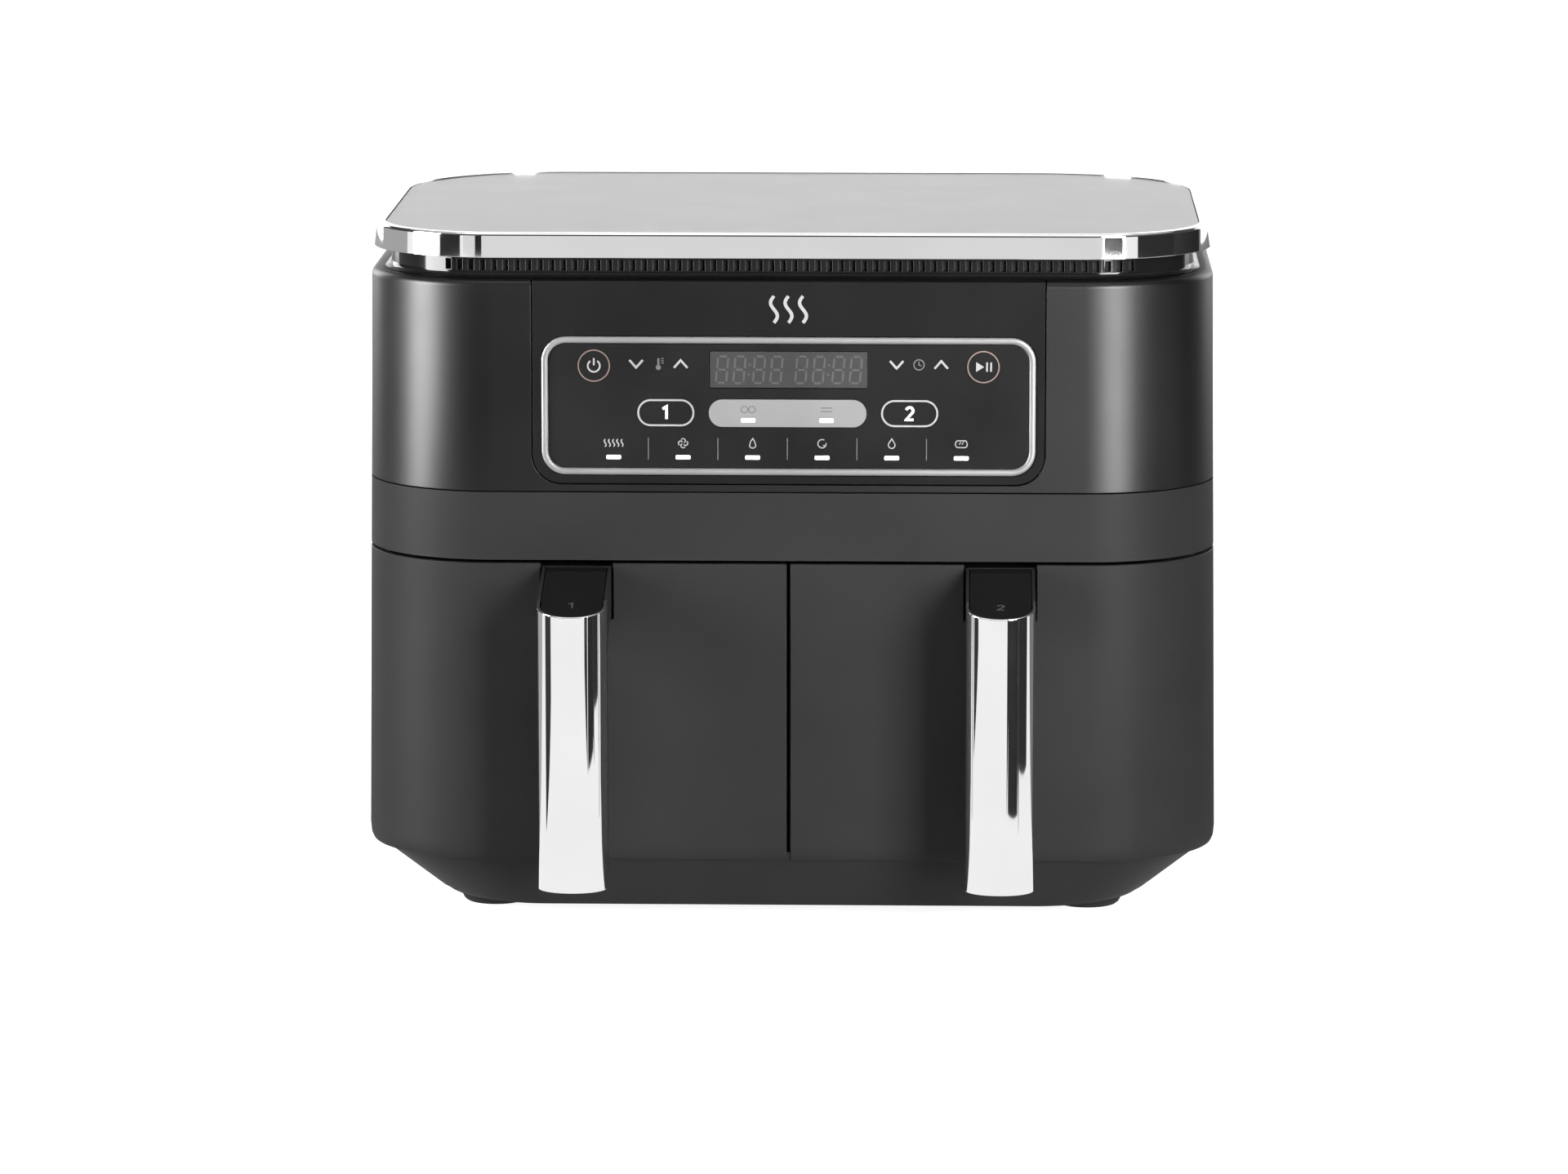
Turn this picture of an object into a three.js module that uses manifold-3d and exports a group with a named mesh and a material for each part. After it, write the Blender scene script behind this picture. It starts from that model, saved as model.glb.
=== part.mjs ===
// A two-drawer air fryer: a rounded housing with a control fascia and a metal top, and two
// cooking drawers side by side, each with its own crisper plate, heater, fan and motor.
//
// Millimetres, +Z up, +X to the right, +Y to the back. The origin is on the surface the air
// fryer stands on, under the middle of its overall box. The zone on the right (+X) is modelled
// and the left one is its mirror image.

import * as THREE from "three";
import { mergeVertices } from "three/addons/utils/BufferGeometryUtils.js";
import Module from "manifold-3d";

const wasm = await Module();
wasm.setup();

// ------------------------------------------------------------------ driving dimensions

// Overall
const width = 390; // across the sides, at the widest
const bodyDepth = 270; // front face to rear face, without the handles
const height = 315;
const handleReach = 55; // how far the handles stand out of the front face
const frontCorner = 60; // plan radius of the two front corners
const rearCorner = 80; // plan radius of the two rear corners
const draftRate = 6.5e-5; // the housing narrows by this share of its width for each mm up

// Gaps
const seat = 0.3; // between pieces that rest on each other
const seam = 0.5; // between the mouldings of the housing
const reveal = 0.8; // round each drawer front

// Heights of the housing's layers; the drawers take what is left
const footHeight = 5;
const baseHeight = 23.3;
const apronHeight = 30.8;
const hoodHeight = 95.7;
const ringHeight = 9.8;
const bandHeight = 11.2;

// Walls
const hoodWall = 2.4;
const shellWall = 2.6;
const frontWall = 3;
const trayFloor = 3;
const bulkheadWall = 2.4;
const webThickness = 4;
const sideEase = 1.6; // rounding along the lower edge of the sides

// Base
const sideTuck = 34; // how far its underside sits in from the sides
const frontTuck = 16; // and from the front and back
const ribThickness = 2;
const ribInset = 24; // two ribs carry the cavities, each this far inside the feet
const intakeLength = 46;
const intakeWidth = 4;
const intakePitch = 14;
const intakeCount = 5;

// Feet
const footSideInset = 59; // centre of each foot, from the side
const footFrontInset = 49;
const footRearInset = 53;
const footRadius = 16;
const footStem = 6;
const footStemLength = 4.5;

// Control fascia
const fasciaMargin = 20; // flat front left on each side of it
const fasciaRise = 3.7; // its lower edge, above the hood's
const fasciaCorner = 13;
const fasciaThickness = 7.6;
const fasciaGap = 0.5;
const frameMargin = 4; // fascia left at the sides of the frame, and under it
const frameHeight = 62.6;
const frameBar = 3;
const frameCorner = 11;
const frameProud = 0.8;
const panelThickness = 2;
const panelSunk = 0.3; // behind the fascia's face
const windowWidth = 71.3;
const windowHeight = 17;
const windowDrop = 6.3; // from the top of the frame
const lensThickness = 1.6;
const boardThickness = 1.6;
const boardMargin = 19; // circuit board, inside the frame's width

// Lid and vent ring
const ringInset = 9; // how far the vent ring sits in from the housing's side
const ringWall = 2;
const ringFlare = 3;
const slotPitch = 5.2;
const slotWidth = 2.4;
const slotHeight = 4.6;
const slotMargin = 38; // no slots this near the sides
const lidInset = 1;
const lidEase = 1.3;
const bandWidth = 5.2; // seen from above
const bandLedge = 6; // ledge under the lid plate
const plateThickness = 1.5;
const plateSunk = 0.6;

// Rear vent panel and cord outlet
const ventMargin = 25; // flat back left on each side of it
const ventRise = 15.7; // its lower edge, above the hood's
const ventHeight = 66;
const louvreHeight = 3;
const louvrePitch = 7;
const cordInset = 23; // from the end of the flat back
const cordOutletZ = 58;
const cordHoleRadius = 3.6;
const glandWall = 4.4;
const glandCollar = 3;

// Cooking cavities
const cavitySideGap = 12.25; // from the side of the housing, at the top of the cavity
const cavityHalfGap = 10.5; // from the middle of the housing
const cavityRearGap = 21; // from the back of the housing
const cavityUnderGap = 4.2; // from the lower edge of the sides
const cavityOverDrawer = 40.5; // top of the cavity, above the drawer fronts
const cavityWall = 1.2;
const cavityHeader = 1.6;
const cavityCornerGap = 6.6; // from the rear corners of the housing
const mouthDrop = 5.5; // top of the mouth, below the top of the drawer fronts
const mouthCorner = 6;
const returnInset = 1.2; // walls behind the drawer fronts, where these wrap round
const returnGap = 0.9; // from those walls to the cavity
const wrapReach = 4; // the drawer fronts go round the corners and this far along the sides

// Drawer
const basketSideGap = 7; // basket to the outside of the cavity
const basketRearGap = 11;
const basketUnderGap = 1.4; // basket to the cavity's floor
const basketDrop = 15.5; // its rim, below the top of the drawer front
const basketWall = 1.5;
const basketDraft = 3;
const basketCornerGap = 10; // its plan radius is this much less than the cavity's
const basketRim = 4;
const linerWall = 2;
const linerDrop = 2.5; // its top, below the top of the drawer front

// Crisper plate
const plateRise = 22.9; // top of the plate, above the basket's underside
const plateGauge = 2.2;
const plateSkirt = 5;
const plateSkirtWall = 1.4;
const plateGap = 5.5; // plate edge to basket wall
const plateBorder = 12; // no holes this near its edge
const holeRadius = 5.4;
const holeColumns = 5;
const holeRows = 7;
const plateLegInset = [10, 26];
const plateLegSize = [6, 15];
const padLength = 18;
const padClearance = 1.2; // pad to basket wall
const padSetback = 40; // pad centre, from the plate's front or back edge

// Handle
const handleWidth = 31;
const gripDepth = 24;
const gripNose = 13; // depth of its rounded front
const gripBottom = 25;
const neckSlope = THREE.MathUtils.degToRad(15);
const neckThickness = 24;
const neckBend = 16;
const trimDepth = 19; // how far the chrome wraps back along the grip
const trimWall = 1.4;
const capThickness = 3;
const capSunk = 0.6;
const tongueInset = 2;
const tongueDrop = 7.5; // its top, below the top of the drawer front
const tongueLength = 60;
const screwDrops = [57.5, 35.5]; // below the top of the drawer front
const screwRadius = 2;
const screwHead = 4.4;

// Heating and air
const coilGap = 7.2; // coil to cavity wall
const coilTurns = 2;
const coilPitch = 7; // between one turn of the element and the next
const coilDrop = 25; // below the top of the cavity
const coilTube = 2.8;
const terminalGap = 0.8;
const guardDrop = 38;
const guardGap = 9; // guard ring to the outside of the cavity
const guardBar = 3;
const guardThickness = 2;
const fanDrop = 16; // underside of the convection fan, below the top of the cavity
const fanHeight = 11;
const fanTipGap = 4.2;
const fanHub = 11;
const fanBlades = 8;
const shaftRadius = 4;
const shaftHoleGap = 2;
const bearingGap = 0.4;
const motorRadius = 30;
const motorRise = 14; // above the top of the cavity
const motorHeight = 32;
const motorNose = 9;
const bracketGauge = 1.6;
const bracketHalf = 13;
const coolingFanRadius = 44;
const coolingFanGap = 10; // above the motor
const coolingFanHeight = 9;
const coolingBlades = 6;

// ------------------------------------------------------------------ places worked out

const frontFace = -bodyDepth / 2;
const rearFace = bodyDepth / 2;

const baseUnderside = footHeight;
const baseTop = baseUnderside + baseHeight;
const sideBottom = baseTop + seam;
const bandBottom = height - bandHeight;
const shoulder = bandBottom - ringHeight;
const hoodBottom = shoulder - hoodHeight;
const apronTop = hoodBottom - seam;
const apronBottom = apronTop - apronHeight;
const drawerTop = apronBottom - 1.5;

// The housing's width at a height, as a share of its width at the bottom.
function draftShare(z) {
  return 1 - draftRate * (z - sideBottom);
}

// Radius of a corner whose edges reach x and y from a centre, and which touches a circle
// round that centre from inside.
function nestedCorner(x, y, circle) {
  return x + y - circle - Math.sqrt(2 * (circle - x) * (circle - y));
}

// How far the bulkhead stands in front of where the front corners end, so that the walls
// behind the drawer fronts pass outside the cavity.
function bulkheadLead() {
  const wallRadius = frontCorner - frontWall - returnInset - bulkheadWall;
  const cavityReach = (cavityOuter + returnGap) / draftShare(apronBottom);
  const across = cavityReach - (width / 2 - frontCorner);
  return Math.sqrt(wallRadius ** 2 - across ** 2) + bulkheadWall + seat;
}

const footX = width / 2 - footSideInset;
const footFrontY = frontFace + footFrontInset;
const footRearY = rearFace - footRearInset;

const fasciaWidth = width - 2 * (frontCorner + fasciaMargin);
const fasciaBottom = hoodBottom + fasciaRise;
const frameWidth = fasciaWidth - 2 * frameMargin;
const frameBottom = fasciaBottom + frameMargin;
const frameTop = frameBottom + frameHeight;
const windowTop = frameTop - windowDrop;
const windowBottom = windowTop - windowHeight;
const ventWidth = width - 2 * (rearCorner + ventMargin);
const ventBottom = hoodBottom + ventRise;
const ventTop = ventBottom + ventHeight;
const glandRadius = cordHoleRadius + glandWall;
const cordOutletX = rearCorner + cordInset - width / 2;

const cavityRear = rearFace - cavityRearGap;
const cavityBottom = sideBottom + cavityUnderGap;
const cavityTop = drawerTop + cavityOverDrawer;
const cavityInner = cavityHalfGap;
const cavityOuter = (width / 2) * draftShare(cavityTop) - cavitySideGap;
const cavityWidth = cavityOuter - cavityInner;
const zoneX = (cavityInner + cavityOuter) / 2; // middle of the right-hand zone
const cavityCorner = nestedCorner(
  cavityOuter - (width / 2 - rearCorner),
  cavityRear - (rearFace - rearCorner),
  rearCorner - cavityCornerGap,
);
const mouthBottom = cavityBottom + cavityWall + seat;
const mouthTop = drawerTop - mouthDrop;
const bulkheadFront = frontFace + frontCorner - bulkheadLead();
const wrapEnd = frontFace + frontCorner + wrapReach;
const bulkheadBack = bulkheadFront + bulkheadWall;
const zoneMiddleY = (bulkheadFront + cavityRear) / 2;

const panelBack = frontFace + frontWall;
const linerFront = panelBack + seat;
const linerBack = bulkheadFront - seam;
const basketFront = linerBack + seat;
const basketRear = cavityRear - basketRearGap;
const basketWidth = cavityWidth - 2 * basketSideGap;
const basketLength = basketRear - basketFront;
const basketMiddle = [zoneX, (basketRear + basketFront) / 2];
const basketCorner = cavityCorner - basketCornerGap;
const basketBottom = cavityBottom + cavityWall + basketUnderGap;
const basketTop = drawerTop - basketDrop;
const plateTop = basketBottom + plateRise;
const plateMargin = basketDraft + basketWall + plateGap;
const plateSize = [basketWidth - 2 * plateMargin, basketLength - 2 * plateMargin];

const tip = frontFace - handleReach;
const neckTopAtFace = drawerTop - reveal;
const tipTop = neckTopAtFace - handleReach * Math.tan(neckSlope);
const screwHeights = screwDrops.map((drop) => drawerTop - drop);

const coilLevel = cavityTop - coilDrop;
const coilOuter = cavityWidth / 2 - coilGap - coilTube;
const coilInner = coilOuter - coilTurns * coilPitch;
const coilEnds = [coilOuter, coilInner];
const guardLevel = cavityTop - guardDrop;
const guardRadius = cavityWidth / 2 - guardGap;
const fanLevel = cavityTop - fanDrop;
const fanRadius = coilInner - coilTube - fanTipGap;
const motorBottom = cavityTop + motorRise;
const motorTop = motorBottom + motorHeight;
const coolingFanLevel = motorTop + coolingFanGap;
const shaftBottom = fanLevel - 4;
const shaftTop = coolingFanLevel + coolingFanHeight + 1;

// ------------------------------------------------------------------ materials

// Each call makes a new material, so that every mesh has its own.
const finish = (color, roughness, metalness) => () =>
  new THREE.MeshStandardMaterial({ color, roughness, metalness });

const satinGraphite = finish(0x2b2b2d, 0.35, 0.6);
const mattePlastic = finish(0x333333, 0.6, 0);
const glossBlack = finish(0x0e0e10, 0.12, 0);
const chrome = finish(0xdcdcdc, 0.06, 1);
const silver = finish(0xbababa, 0.3, 1);
const brushedSteel = finish(0xbcbcbc, 0.38, 1);
const smokedLens = finish(0x565656, 0.2, 0);
const nonStick = finish(0x222224, 0.45, 0.2);
const steelSheet = finish(0x9a9a98, 0.45, 1);
const heaterSteel = finish(0x6c6660, 0.5, 1);
const rubber = finish(0x151515, 0.85, 0);
const silicone = finish(0x26262a, 0.75, 0);
const circuitBoard = finish(0x1d5a34, 0.6, 0);

// ------------------------------------------------------------------ solids

const largeArc = 4; // half the number of straight steps in each corner of the housing
const smallArc = 3; // the same for the corners of panels, cut-outs and drawer pieces

// A closed three.js geometry as a manifold-3d solid.
function solidOf(geometry) {
  const bare = geometry.index ? geometry.toNonIndexed() : geometry.clone();
  for (const name of Object.keys(bare.attributes))
    if (name !== "position") bare.deleteAttribute(name);
  const merged = mergeVertices(bare, 1e-4);
  return new wasm.Manifold(
    new wasm.Mesh({
      numProp: 3,
      vertProperties: merged.getAttribute("position").array,
      triVerts: new Uint32Array(merged.index.array),
    }),
  );
}

function geometryOf(solid) {
  const made = solid.getMesh();
  const position = new Float32Array(made.numVert * 3);
  for (let i = 0; i < made.numVert; i++)
    for (let k = 0; k < 3; k++)
      position[i * 3 + k] = made.vertProperties[i * made.numProp + k];
  const geometry = new THREE.BufferGeometry();
  geometry.setAttribute("position", new THREE.BufferAttribute(position, 3));
  geometry.setIndex(new THREE.BufferAttribute(made.triVerts, 1));
  geometry.computeVertexNormals();
  return geometry;
}

function box(x0, x1, y0, y1, z0, z1) {
  const geometry = new THREE.BoxGeometry(x1 - x0, y1 - y0, z1 - z0);
  geometry.translate((x0 + x1) / 2, (y0 + y1) / 2, (z0 + z1) / 2);
  return solidOf(geometry);
}

// An upright cylinder or cone between two heights.
function cylinder(x, y, z0, z1, radius, topRadius = radius, sides = 24) {
  const geometry = new THREE.CylinderGeometry(topRadius, radius, z1 - z0, sides);
  geometry.rotateX(Math.PI / 2);
  geometry.translate(x, y, (z0 + z1) / 2);
  return solidOf(geometry);
}

// A cylinder lying along Y.
function cylinderAlongY(x, z, y0, y1, radius, sides = 16) {
  const geometry = new THREE.CylinderGeometry(radius, radius, y1 - y0, sides);
  geometry.translate(x, (y0 + y1) / 2, z);
  return solidOf(geometry);
}

// A plan outline (x, y) pushed up between two heights.
function prism(shape, z0, z1, curveSegments = largeArc) {
  const geometry = new THREE.ExtrudeGeometry(shape, {
    depth: z1 - z0,
    bevelEnabled: false,
    curveSegments,
  });
  geometry.translate(0, 0, z0);
  return solidOf(geometry);
}

// A front outline (x, z) pushed back between two Y values.
function plate(shape, y0, y1, curveSegments = largeArc) {
  const geometry = new THREE.ExtrudeGeometry(shape, {
    depth: y1 - y0,
    bevelEnabled: false,
    curveSegments,
  });
  geometry.rotateX(Math.PI / 2);
  geometry.translate(0, y1, 0);
  return solidOf(geometry);
}

// An outline drawn round its own middle, pushed up through levels [z, side inset, end inset].
function levelled(shape, size, levels, middle = [0, 0], curveSegments = largeArc) {
  const geometry = new THREE.ExtrudeGeometry(shape, {
    depth: levels.length - 1,
    steps: levels.length - 1,
    bevelEnabled: false,
    curveSegments,
  });
  const position = geometry.getAttribute("position");
  for (let i = 0; i < position.count; i++) {
    const [z, sideInset, endInset] = levels[Math.round(position.getZ(i))];
    position.setXYZ(
      i,
      middle[0] + position.getX(i) * (1 - (2 * sideInset) / size[0]),
      middle[1] + position.getY(i) * (1 - (2 * endInset) / size[1]),
      z,
    );
  }
  return solidOf(geometry);
}

// The draft of the housing's sides: everything narrows a little towards the top.
function drafted(solid) {
  const geometry = geometryOf(solid);
  const position = geometry.getAttribute("position");
  for (let i = 0; i < position.count; i++)
    position.setX(i, position.getX(i) * draftShare(position.getZ(i)));
  return solidOf(geometry);
}

const union = (...solids) => solids.reduce((whole, next) => whole.add(next));

// ------------------------------------------------------------------ outlines

function roundedRect(x0, x1, y0, y1, radius) {
  const shape = new THREE.Shape();
  shape.moveTo(x0 + radius, y0);
  shape.lineTo(x1 - radius, y0);
  shape.absarc(x1 - radius, y0 + radius, radius, -Math.PI / 2, 0);
  shape.lineTo(x1, y1 - radius);
  shape.absarc(x1 - radius, y1 - radius, radius, 0, Math.PI / 2);
  shape.lineTo(x0 + radius, y1);
  shape.absarc(x0 + radius, y1 - radius, radius, Math.PI / 2, Math.PI);
  shape.lineTo(x0, y0 + radius);
  shape.absarc(x0 + radius, y0 + radius, radius, Math.PI, Math.PI * 1.5);
  return shape;
}

// The housing's plan outline, set in by a margin.
function housingOutline(inset) {
  const half = width / 2 - inset;
  const front = frontFace + inset;
  const rear = rearFace - inset;
  const atFront = frontCorner - inset;
  const atRear = rearCorner - inset;
  const shape = new THREE.Shape();
  shape.moveTo(atFront - half, front);
  shape.lineTo(half - atFront, front);
  shape.absarc(half - atFront, front + atFront, atFront, -Math.PI / 2, 0);
  shape.lineTo(half, rear - atRear);
  shape.absarc(half - atRear, rear - atRear, atRear, 0, Math.PI / 2);
  shape.lineTo(atRear - half, rear);
  shape.absarc(atRear - half, rear - atRear, atRear, Math.PI / 2, Math.PI);
  shape.lineTo(-half, front + atFront);
  shape.absarc(atFront - half, front + atFront, atFront, Math.PI, Math.PI * 1.5);
  return shape;
}

// A wall that follows the housing's outline, from one inset to a deeper one.
function housingWall(outer, inner, z0, z1) {
  const solid = prism(housingOutline(outer), z0, z1);
  return drafted(solid.subtract(prism(housingOutline(inner), z0 - 1, z1 + 1)));
}

// The housing's outline pushed up through levels [z, inset].
function housingLevels(levels) {
  const profile = levels.map(([z, inset]) => [z, inset, inset]);
  return levelled(housingOutline(0), [width, bodyDepth], profile);
}

// A wall with its outer edges eased at the given levels.
function easedWall(levels, inner) {
  const z0 = levels[0][0];
  const z1 = levels[levels.length - 1][0];
  const solid = housingLevels(levels);
  return drafted(solid.subtract(prism(housingOutline(inner), z0 - 1, z1 + 1)));
}

// ------------------------------------------------------------------ housing

function baseTray() {
  const size = [width, bodyDepth];
  const rimWall = 3;
  const outside = levelled(housingOutline(0), size, [
    [baseUnderside, sideTuck, frontTuck],
    [baseUnderside + 2, sideTuck - 3, frontTuck - 1.5],
    [baseTop - 3, 3.4, 2.2],
    [baseTop, sideEase, 1],
  ]);
  const inside = levelled(housingOutline(0), size, [
    [baseUnderside + trayFloor, sideTuck - 0.5, frontTuck + 2],
    [baseTop - 3, 4 + rimWall, 2.4 + rimWall],
    [baseTop + 1, sideEase + rimWall, 1 + rimWall],
  ]);
  let tray = drafted(outside.subtract(inside));
  const ribHalf = footX + 14;
  for (const y of [footFrontY + ribInset, footRearY - ribInset])
    tray = tray.add(
      box(
        -ribHalf,
        ribHalf,
        y - ribThickness / 2,
        y + ribThickness / 2,
        baseUnderside + 1,
        cavityBottom - seat,
      ),
    );
  const stemHole = footStem + seat;
  for (const x of [-footX, footX])
    for (const y of [footFrontY, footRearY])
      tray = tray.subtract(
        cylinder(x, y, baseUnderside - 1, baseUnderside + trayFloor + 1, stemHole, stemHole, 16),
      );
  return tray.subtract(intakeSlots());
}

function intakeSlots() {
  const slots = [];
  for (let i = 0; i < intakeCount; i++) {
    const y = (i - (intakeCount - 1) / 2) * intakePitch;
    for (const side of [-1, 1]) {
      const x = side * (zoneX - 28);
      slots.push(
        box(
          x - intakeLength / 2,
          x + intakeLength / 2,
          y - intakeWidth / 2,
          y + intakeWidth / 2,
          0,
          baseUnderside + trayFloor + 1,
        ),
      );
    }
  }
  return union(...slots);
}

function foot() {
  const shelf = baseUnderside - seat;
  const stemTop = baseUnderside + footStemLength;
  const profile = [
    [0, 0],
    [footRadius * 0.72, 0],
    [footRadius * 0.92, 1.4],
    [footRadius, shelf],
    [footStem, shelf],
    [footStem, stemTop],
    [0, stemTop],
  ].map(([r, z]) => new THREE.Vector2(r, z));
  const geometry = new THREE.LatheGeometry(profile, 24);
  geometry.rotateX(Math.PI / 2);
  return solidOf(geometry);
}

// Rounded lower edge of the sides, then straight up to a height.
const sideLevels = (top) => [
  [sideBottom, sideEase],
  [sideBottom + 2.5, 0.5],
  [sideBottom + 7, 0],
  [top, 0],
];

// Sides, back and the front apron above the drawers, with the bulkhead the cavities meet.
function bodyShell() {
  const returnOuter = frontWall + returnInset;
  const returnInner = returnOuter + bulkheadWall;
  const webBack = wrapEnd + webThickness;
  const soffitTop = apronBottom + bulkheadWall;
  const outer = easedWall(sideLevels(apronTop), shellWall).subtract(
    box(-width, width, frontFace - 9, wrapEnd, 0, apronBottom),
  );
  const returns = housingWall(returnOuter, returnInner, sideBottom, apronBottom + 1).intersect(
    box(-width, width, bulkheadFront, webBack, 0, height),
  );
  const web = housingWall(1.2, returnInner, sideBottom + 3, apronBottom + 1).intersect(
    box(-width, width, wrapEnd, webBack, 0, height),
  );
  let bulkhead = drafted(prism(housingOutline(returnOuter), sideBottom, apronTop)).intersect(
    box(-width, width, bulkheadFront, bulkheadBack, 0, height),
  );
  const soffit = drafted(prism(housingOutline(0.8), apronBottom, soffitTop)).intersect(
    box(-width, width, frontFace, bulkheadBack, 0, height),
  );
  const half = cavityWidth / 2 - cavityWall;
  for (const x of [-zoneX, zoneX]) {
    const mouth = roundedRect(x - half, x + half, mouthBottom, mouthTop, mouthCorner);
    bulkhead = bulkhead.subtract(plate(mouth, bulkheadFront - 1, bulkheadBack + 1, 2));
  }
  const cordHole = glandRadius + seat;
  return union(outer, returns, web, bulkhead, soffit).subtract(
    cylinderAlongY(cordOutletX, cordOutletZ, rearFace - 9, rearFace + 1, cordHole),
  );
}

// The fascia's outline, grown by a margin: square at the top, rounded at the bottom.
function fasciaOutline(margin) {
  const half = fasciaWidth / 2 + margin;
  const bottom = fasciaBottom - margin;
  const top = shoulder - seat + margin;
  const radius = fasciaCorner + margin;
  const shape = new THREE.Shape();
  shape.moveTo(radius - half, bottom);
  shape.lineTo(half - radius, bottom);
  shape.absarc(half - radius, bottom + radius, radius, -Math.PI / 2, 0);
  shape.lineTo(half, top);
  shape.lineTo(-half, top);
  shape.lineTo(-half, bottom + radius);
  shape.absarc(radius - half, bottom + radius, radius, Math.PI, Math.PI * 1.5);
  return shape;
}

function upperShell() {
  const mouth = ringInset + ringWall + 3;
  const outside = housingLevels([
    [hoodBottom, 0],
    [shoulder - 3, 0],
    [shoulder - 0.9, 0.9],
    [shoulder, 3],
  ]);
  const wall = outside
    .subtract(prism(housingOutline(hoodWall), hoodBottom - 1, shoulder - hoodWall))
    .subtract(prism(housingOutline(mouth), shoulder - 5, shoulder + 1));
  const opening = plate(
    fasciaOutline(fasciaGap),
    frontFace - 5,
    frontFace + fasciaThickness + seat,
    smallArc,
  );
  const half = ventWidth / 2;
  return drafted(wall)
    .subtract(opening)
    .subtract(box(-half, half, rearFace - 5, rearFace + 1, ventBottom, ventTop));
}

function controlFascia() {
  const back = frontFace + fasciaThickness;
  const half = frameWidth / 2 + seat;
  const pocketDepth = panelSunk + panelThickness + seat + 0.2;
  const webBack = pocketDepth + 2.4;
  const pocket = roundedRect(-half, half, frameBottom - seat, frameTop + seat, frameCorner);
  const rim = 8;
  const rearPocket = roundedRect(
    rim - fasciaWidth / 2,
    fasciaWidth / 2 - rim,
    fasciaBottom + rim,
    shoulder - 12,
    4,
  );
  const windowRim = 2;
  const window = box(
    windowRim + 1 - windowWidth / 2,
    windowWidth / 2 - windowRim - 1,
    frontFace,
    back + 1,
    windowBottom + windowRim,
    windowTop - windowRim,
  );
  return plate(fasciaOutline(0), frontFace, back, smallArc)
    .subtract(plate(pocket, frontFace - 1, frontFace + pocketDepth, smallArc))
    .subtract(plate(rearPocket, frontFace + webBack, back + 1, 2))
    .subtract(window);
}

// The frame's outline, set in by a margin.
const frameOutline = (margin) =>
  roundedRect(
    margin - frameWidth / 2,
    frameWidth / 2 - margin,
    frameBottom + margin,
    frameTop - margin,
    frameCorner - margin,
  );

function trimFrame() {
  const front = frontFace - frameProud;
  const back = frontFace + panelSunk + panelThickness + 0.2;
  const outer = plate(frameOutline(0), front, back, smallArc);
  return outer.subtract(plate(frameOutline(frameBar), front - 1, back + 1, smallArc));
}

function controlPanel() {
  const front = frontFace + panelSunk;
  const back = front + panelThickness;
  const half = windowWidth / 2;
  return plate(frameOutline(frameBar + seat), front, back, smallArc).subtract(
    box(-half, half, front - 1, back + 1, windowBottom, windowTop),
  );
}

function displayLens() {
  const half = windowWidth / 2 - seat;
  const front = frontFace + panelSunk + 0.2;
  return box(-half, half, front, front + lensThickness, windowBottom + seat, windowTop - seat);
}

function controlBoard() {
  const half = frameWidth / 2 - boardMargin;
  const front = frontFace + fasciaThickness + seat;
  const back = front + boardThickness;
  const digits = windowWidth / 2 - 3;
  return union(
    box(-half, half, front, back, frameBottom + 6, frameTop + 1),
    box(-digits, digits, back - 0.5, back + 5, windowBottom + 0.6, windowTop - 0.4),
    box(-60, -40, back - 0.5, back + 3, frameBottom + 16, frameBottom + 30),
  );
}

// How far the front edge of the outline, set in by a margin, has turned back at x.
function cornerRise(x, inset) {
  const radius = frontCorner - inset;
  const along = Math.abs(x) - (width / 2 - frontCorner);
  return along <= 0 ? 0 : radius - Math.sqrt(radius ** 2 - Math.min(along, radius) ** 2);
}

// The recessed neck under the lid. Its front is slotted to draw in cooling air.
function ventRing() {
  const z0 = shoulder + seat;
  const z1 = bandBottom - seat;
  let ring = easedWall(
    [
      [z0, ringInset - ringFlare],
      [z0 + 1.1, ringInset],
      [z1, ringInset],
    ],
    ringInset + ringWall,
  );
  const middle = (z0 + z1) / 2 + 0.8;
  const count = Math.floor((width - 2 * slotMargin) / slotPitch);
  for (let i = 0; i < count; i++) {
    const x = (i - (count - 1) / 2) * slotPitch;
    const y1 = frontFace + ringInset + cornerRise(x, ringInset) + ringWall * 2.4;
    ring = ring.subtract(
      box(
        x - slotWidth / 2,
        x + slotWidth / 2,
        frontFace,
        y1,
        middle - slotHeight / 2,
        middle + slotHeight / 2,
      ),
    );
  }
  return ring;
}

function lidBand() {
  const plateSeat = lidInset + bandWidth;
  const ledgeTop = height - plateSunk - plateThickness - seat;
  const outside = housingLevels([
    [bandBottom, lidInset],
    [height - lidEase, lidInset],
    [height, lidInset + lidEase],
  ]);
  return drafted(
    outside
      .subtract(prism(housingOutline(plateSeat + bandLedge), bandBottom - 1, height))
      .subtract(prism(housingOutline(plateSeat), ledgeTop, height + 1)),
  );
}

function lidPlate() {
  const top = height - plateSunk;
  const inset = lidInset + bandWidth + seat;
  return drafted(prism(housingOutline(inset), top - plateThickness, top));
}

function rearVent() {
  const half = ventWidth / 2 - seat;
  const y0 = rearFace - hoodWall;
  let panel = box(-half, half, y0, rearFace, ventBottom + seat, ventTop - seat);
  const rows = Math.floor((ventHeight - 10) / louvrePitch);
  const reach = half / 2 - 7;
  for (let i = 0; i < rows; i++) {
    const z = (ventBottom + ventTop) / 2 + (i - (rows - 1) / 2) * louvrePitch;
    for (const side of [-1, 1]) {
      const x = side * (half / 2 + 1);
      panel = panel.subtract(
        box(x - reach, x + reach, y0 - 1, rearFace + 1, z - louvreHeight / 2, z + louvreHeight / 2),
      );
    }
  }
  return panel;
}

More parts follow.
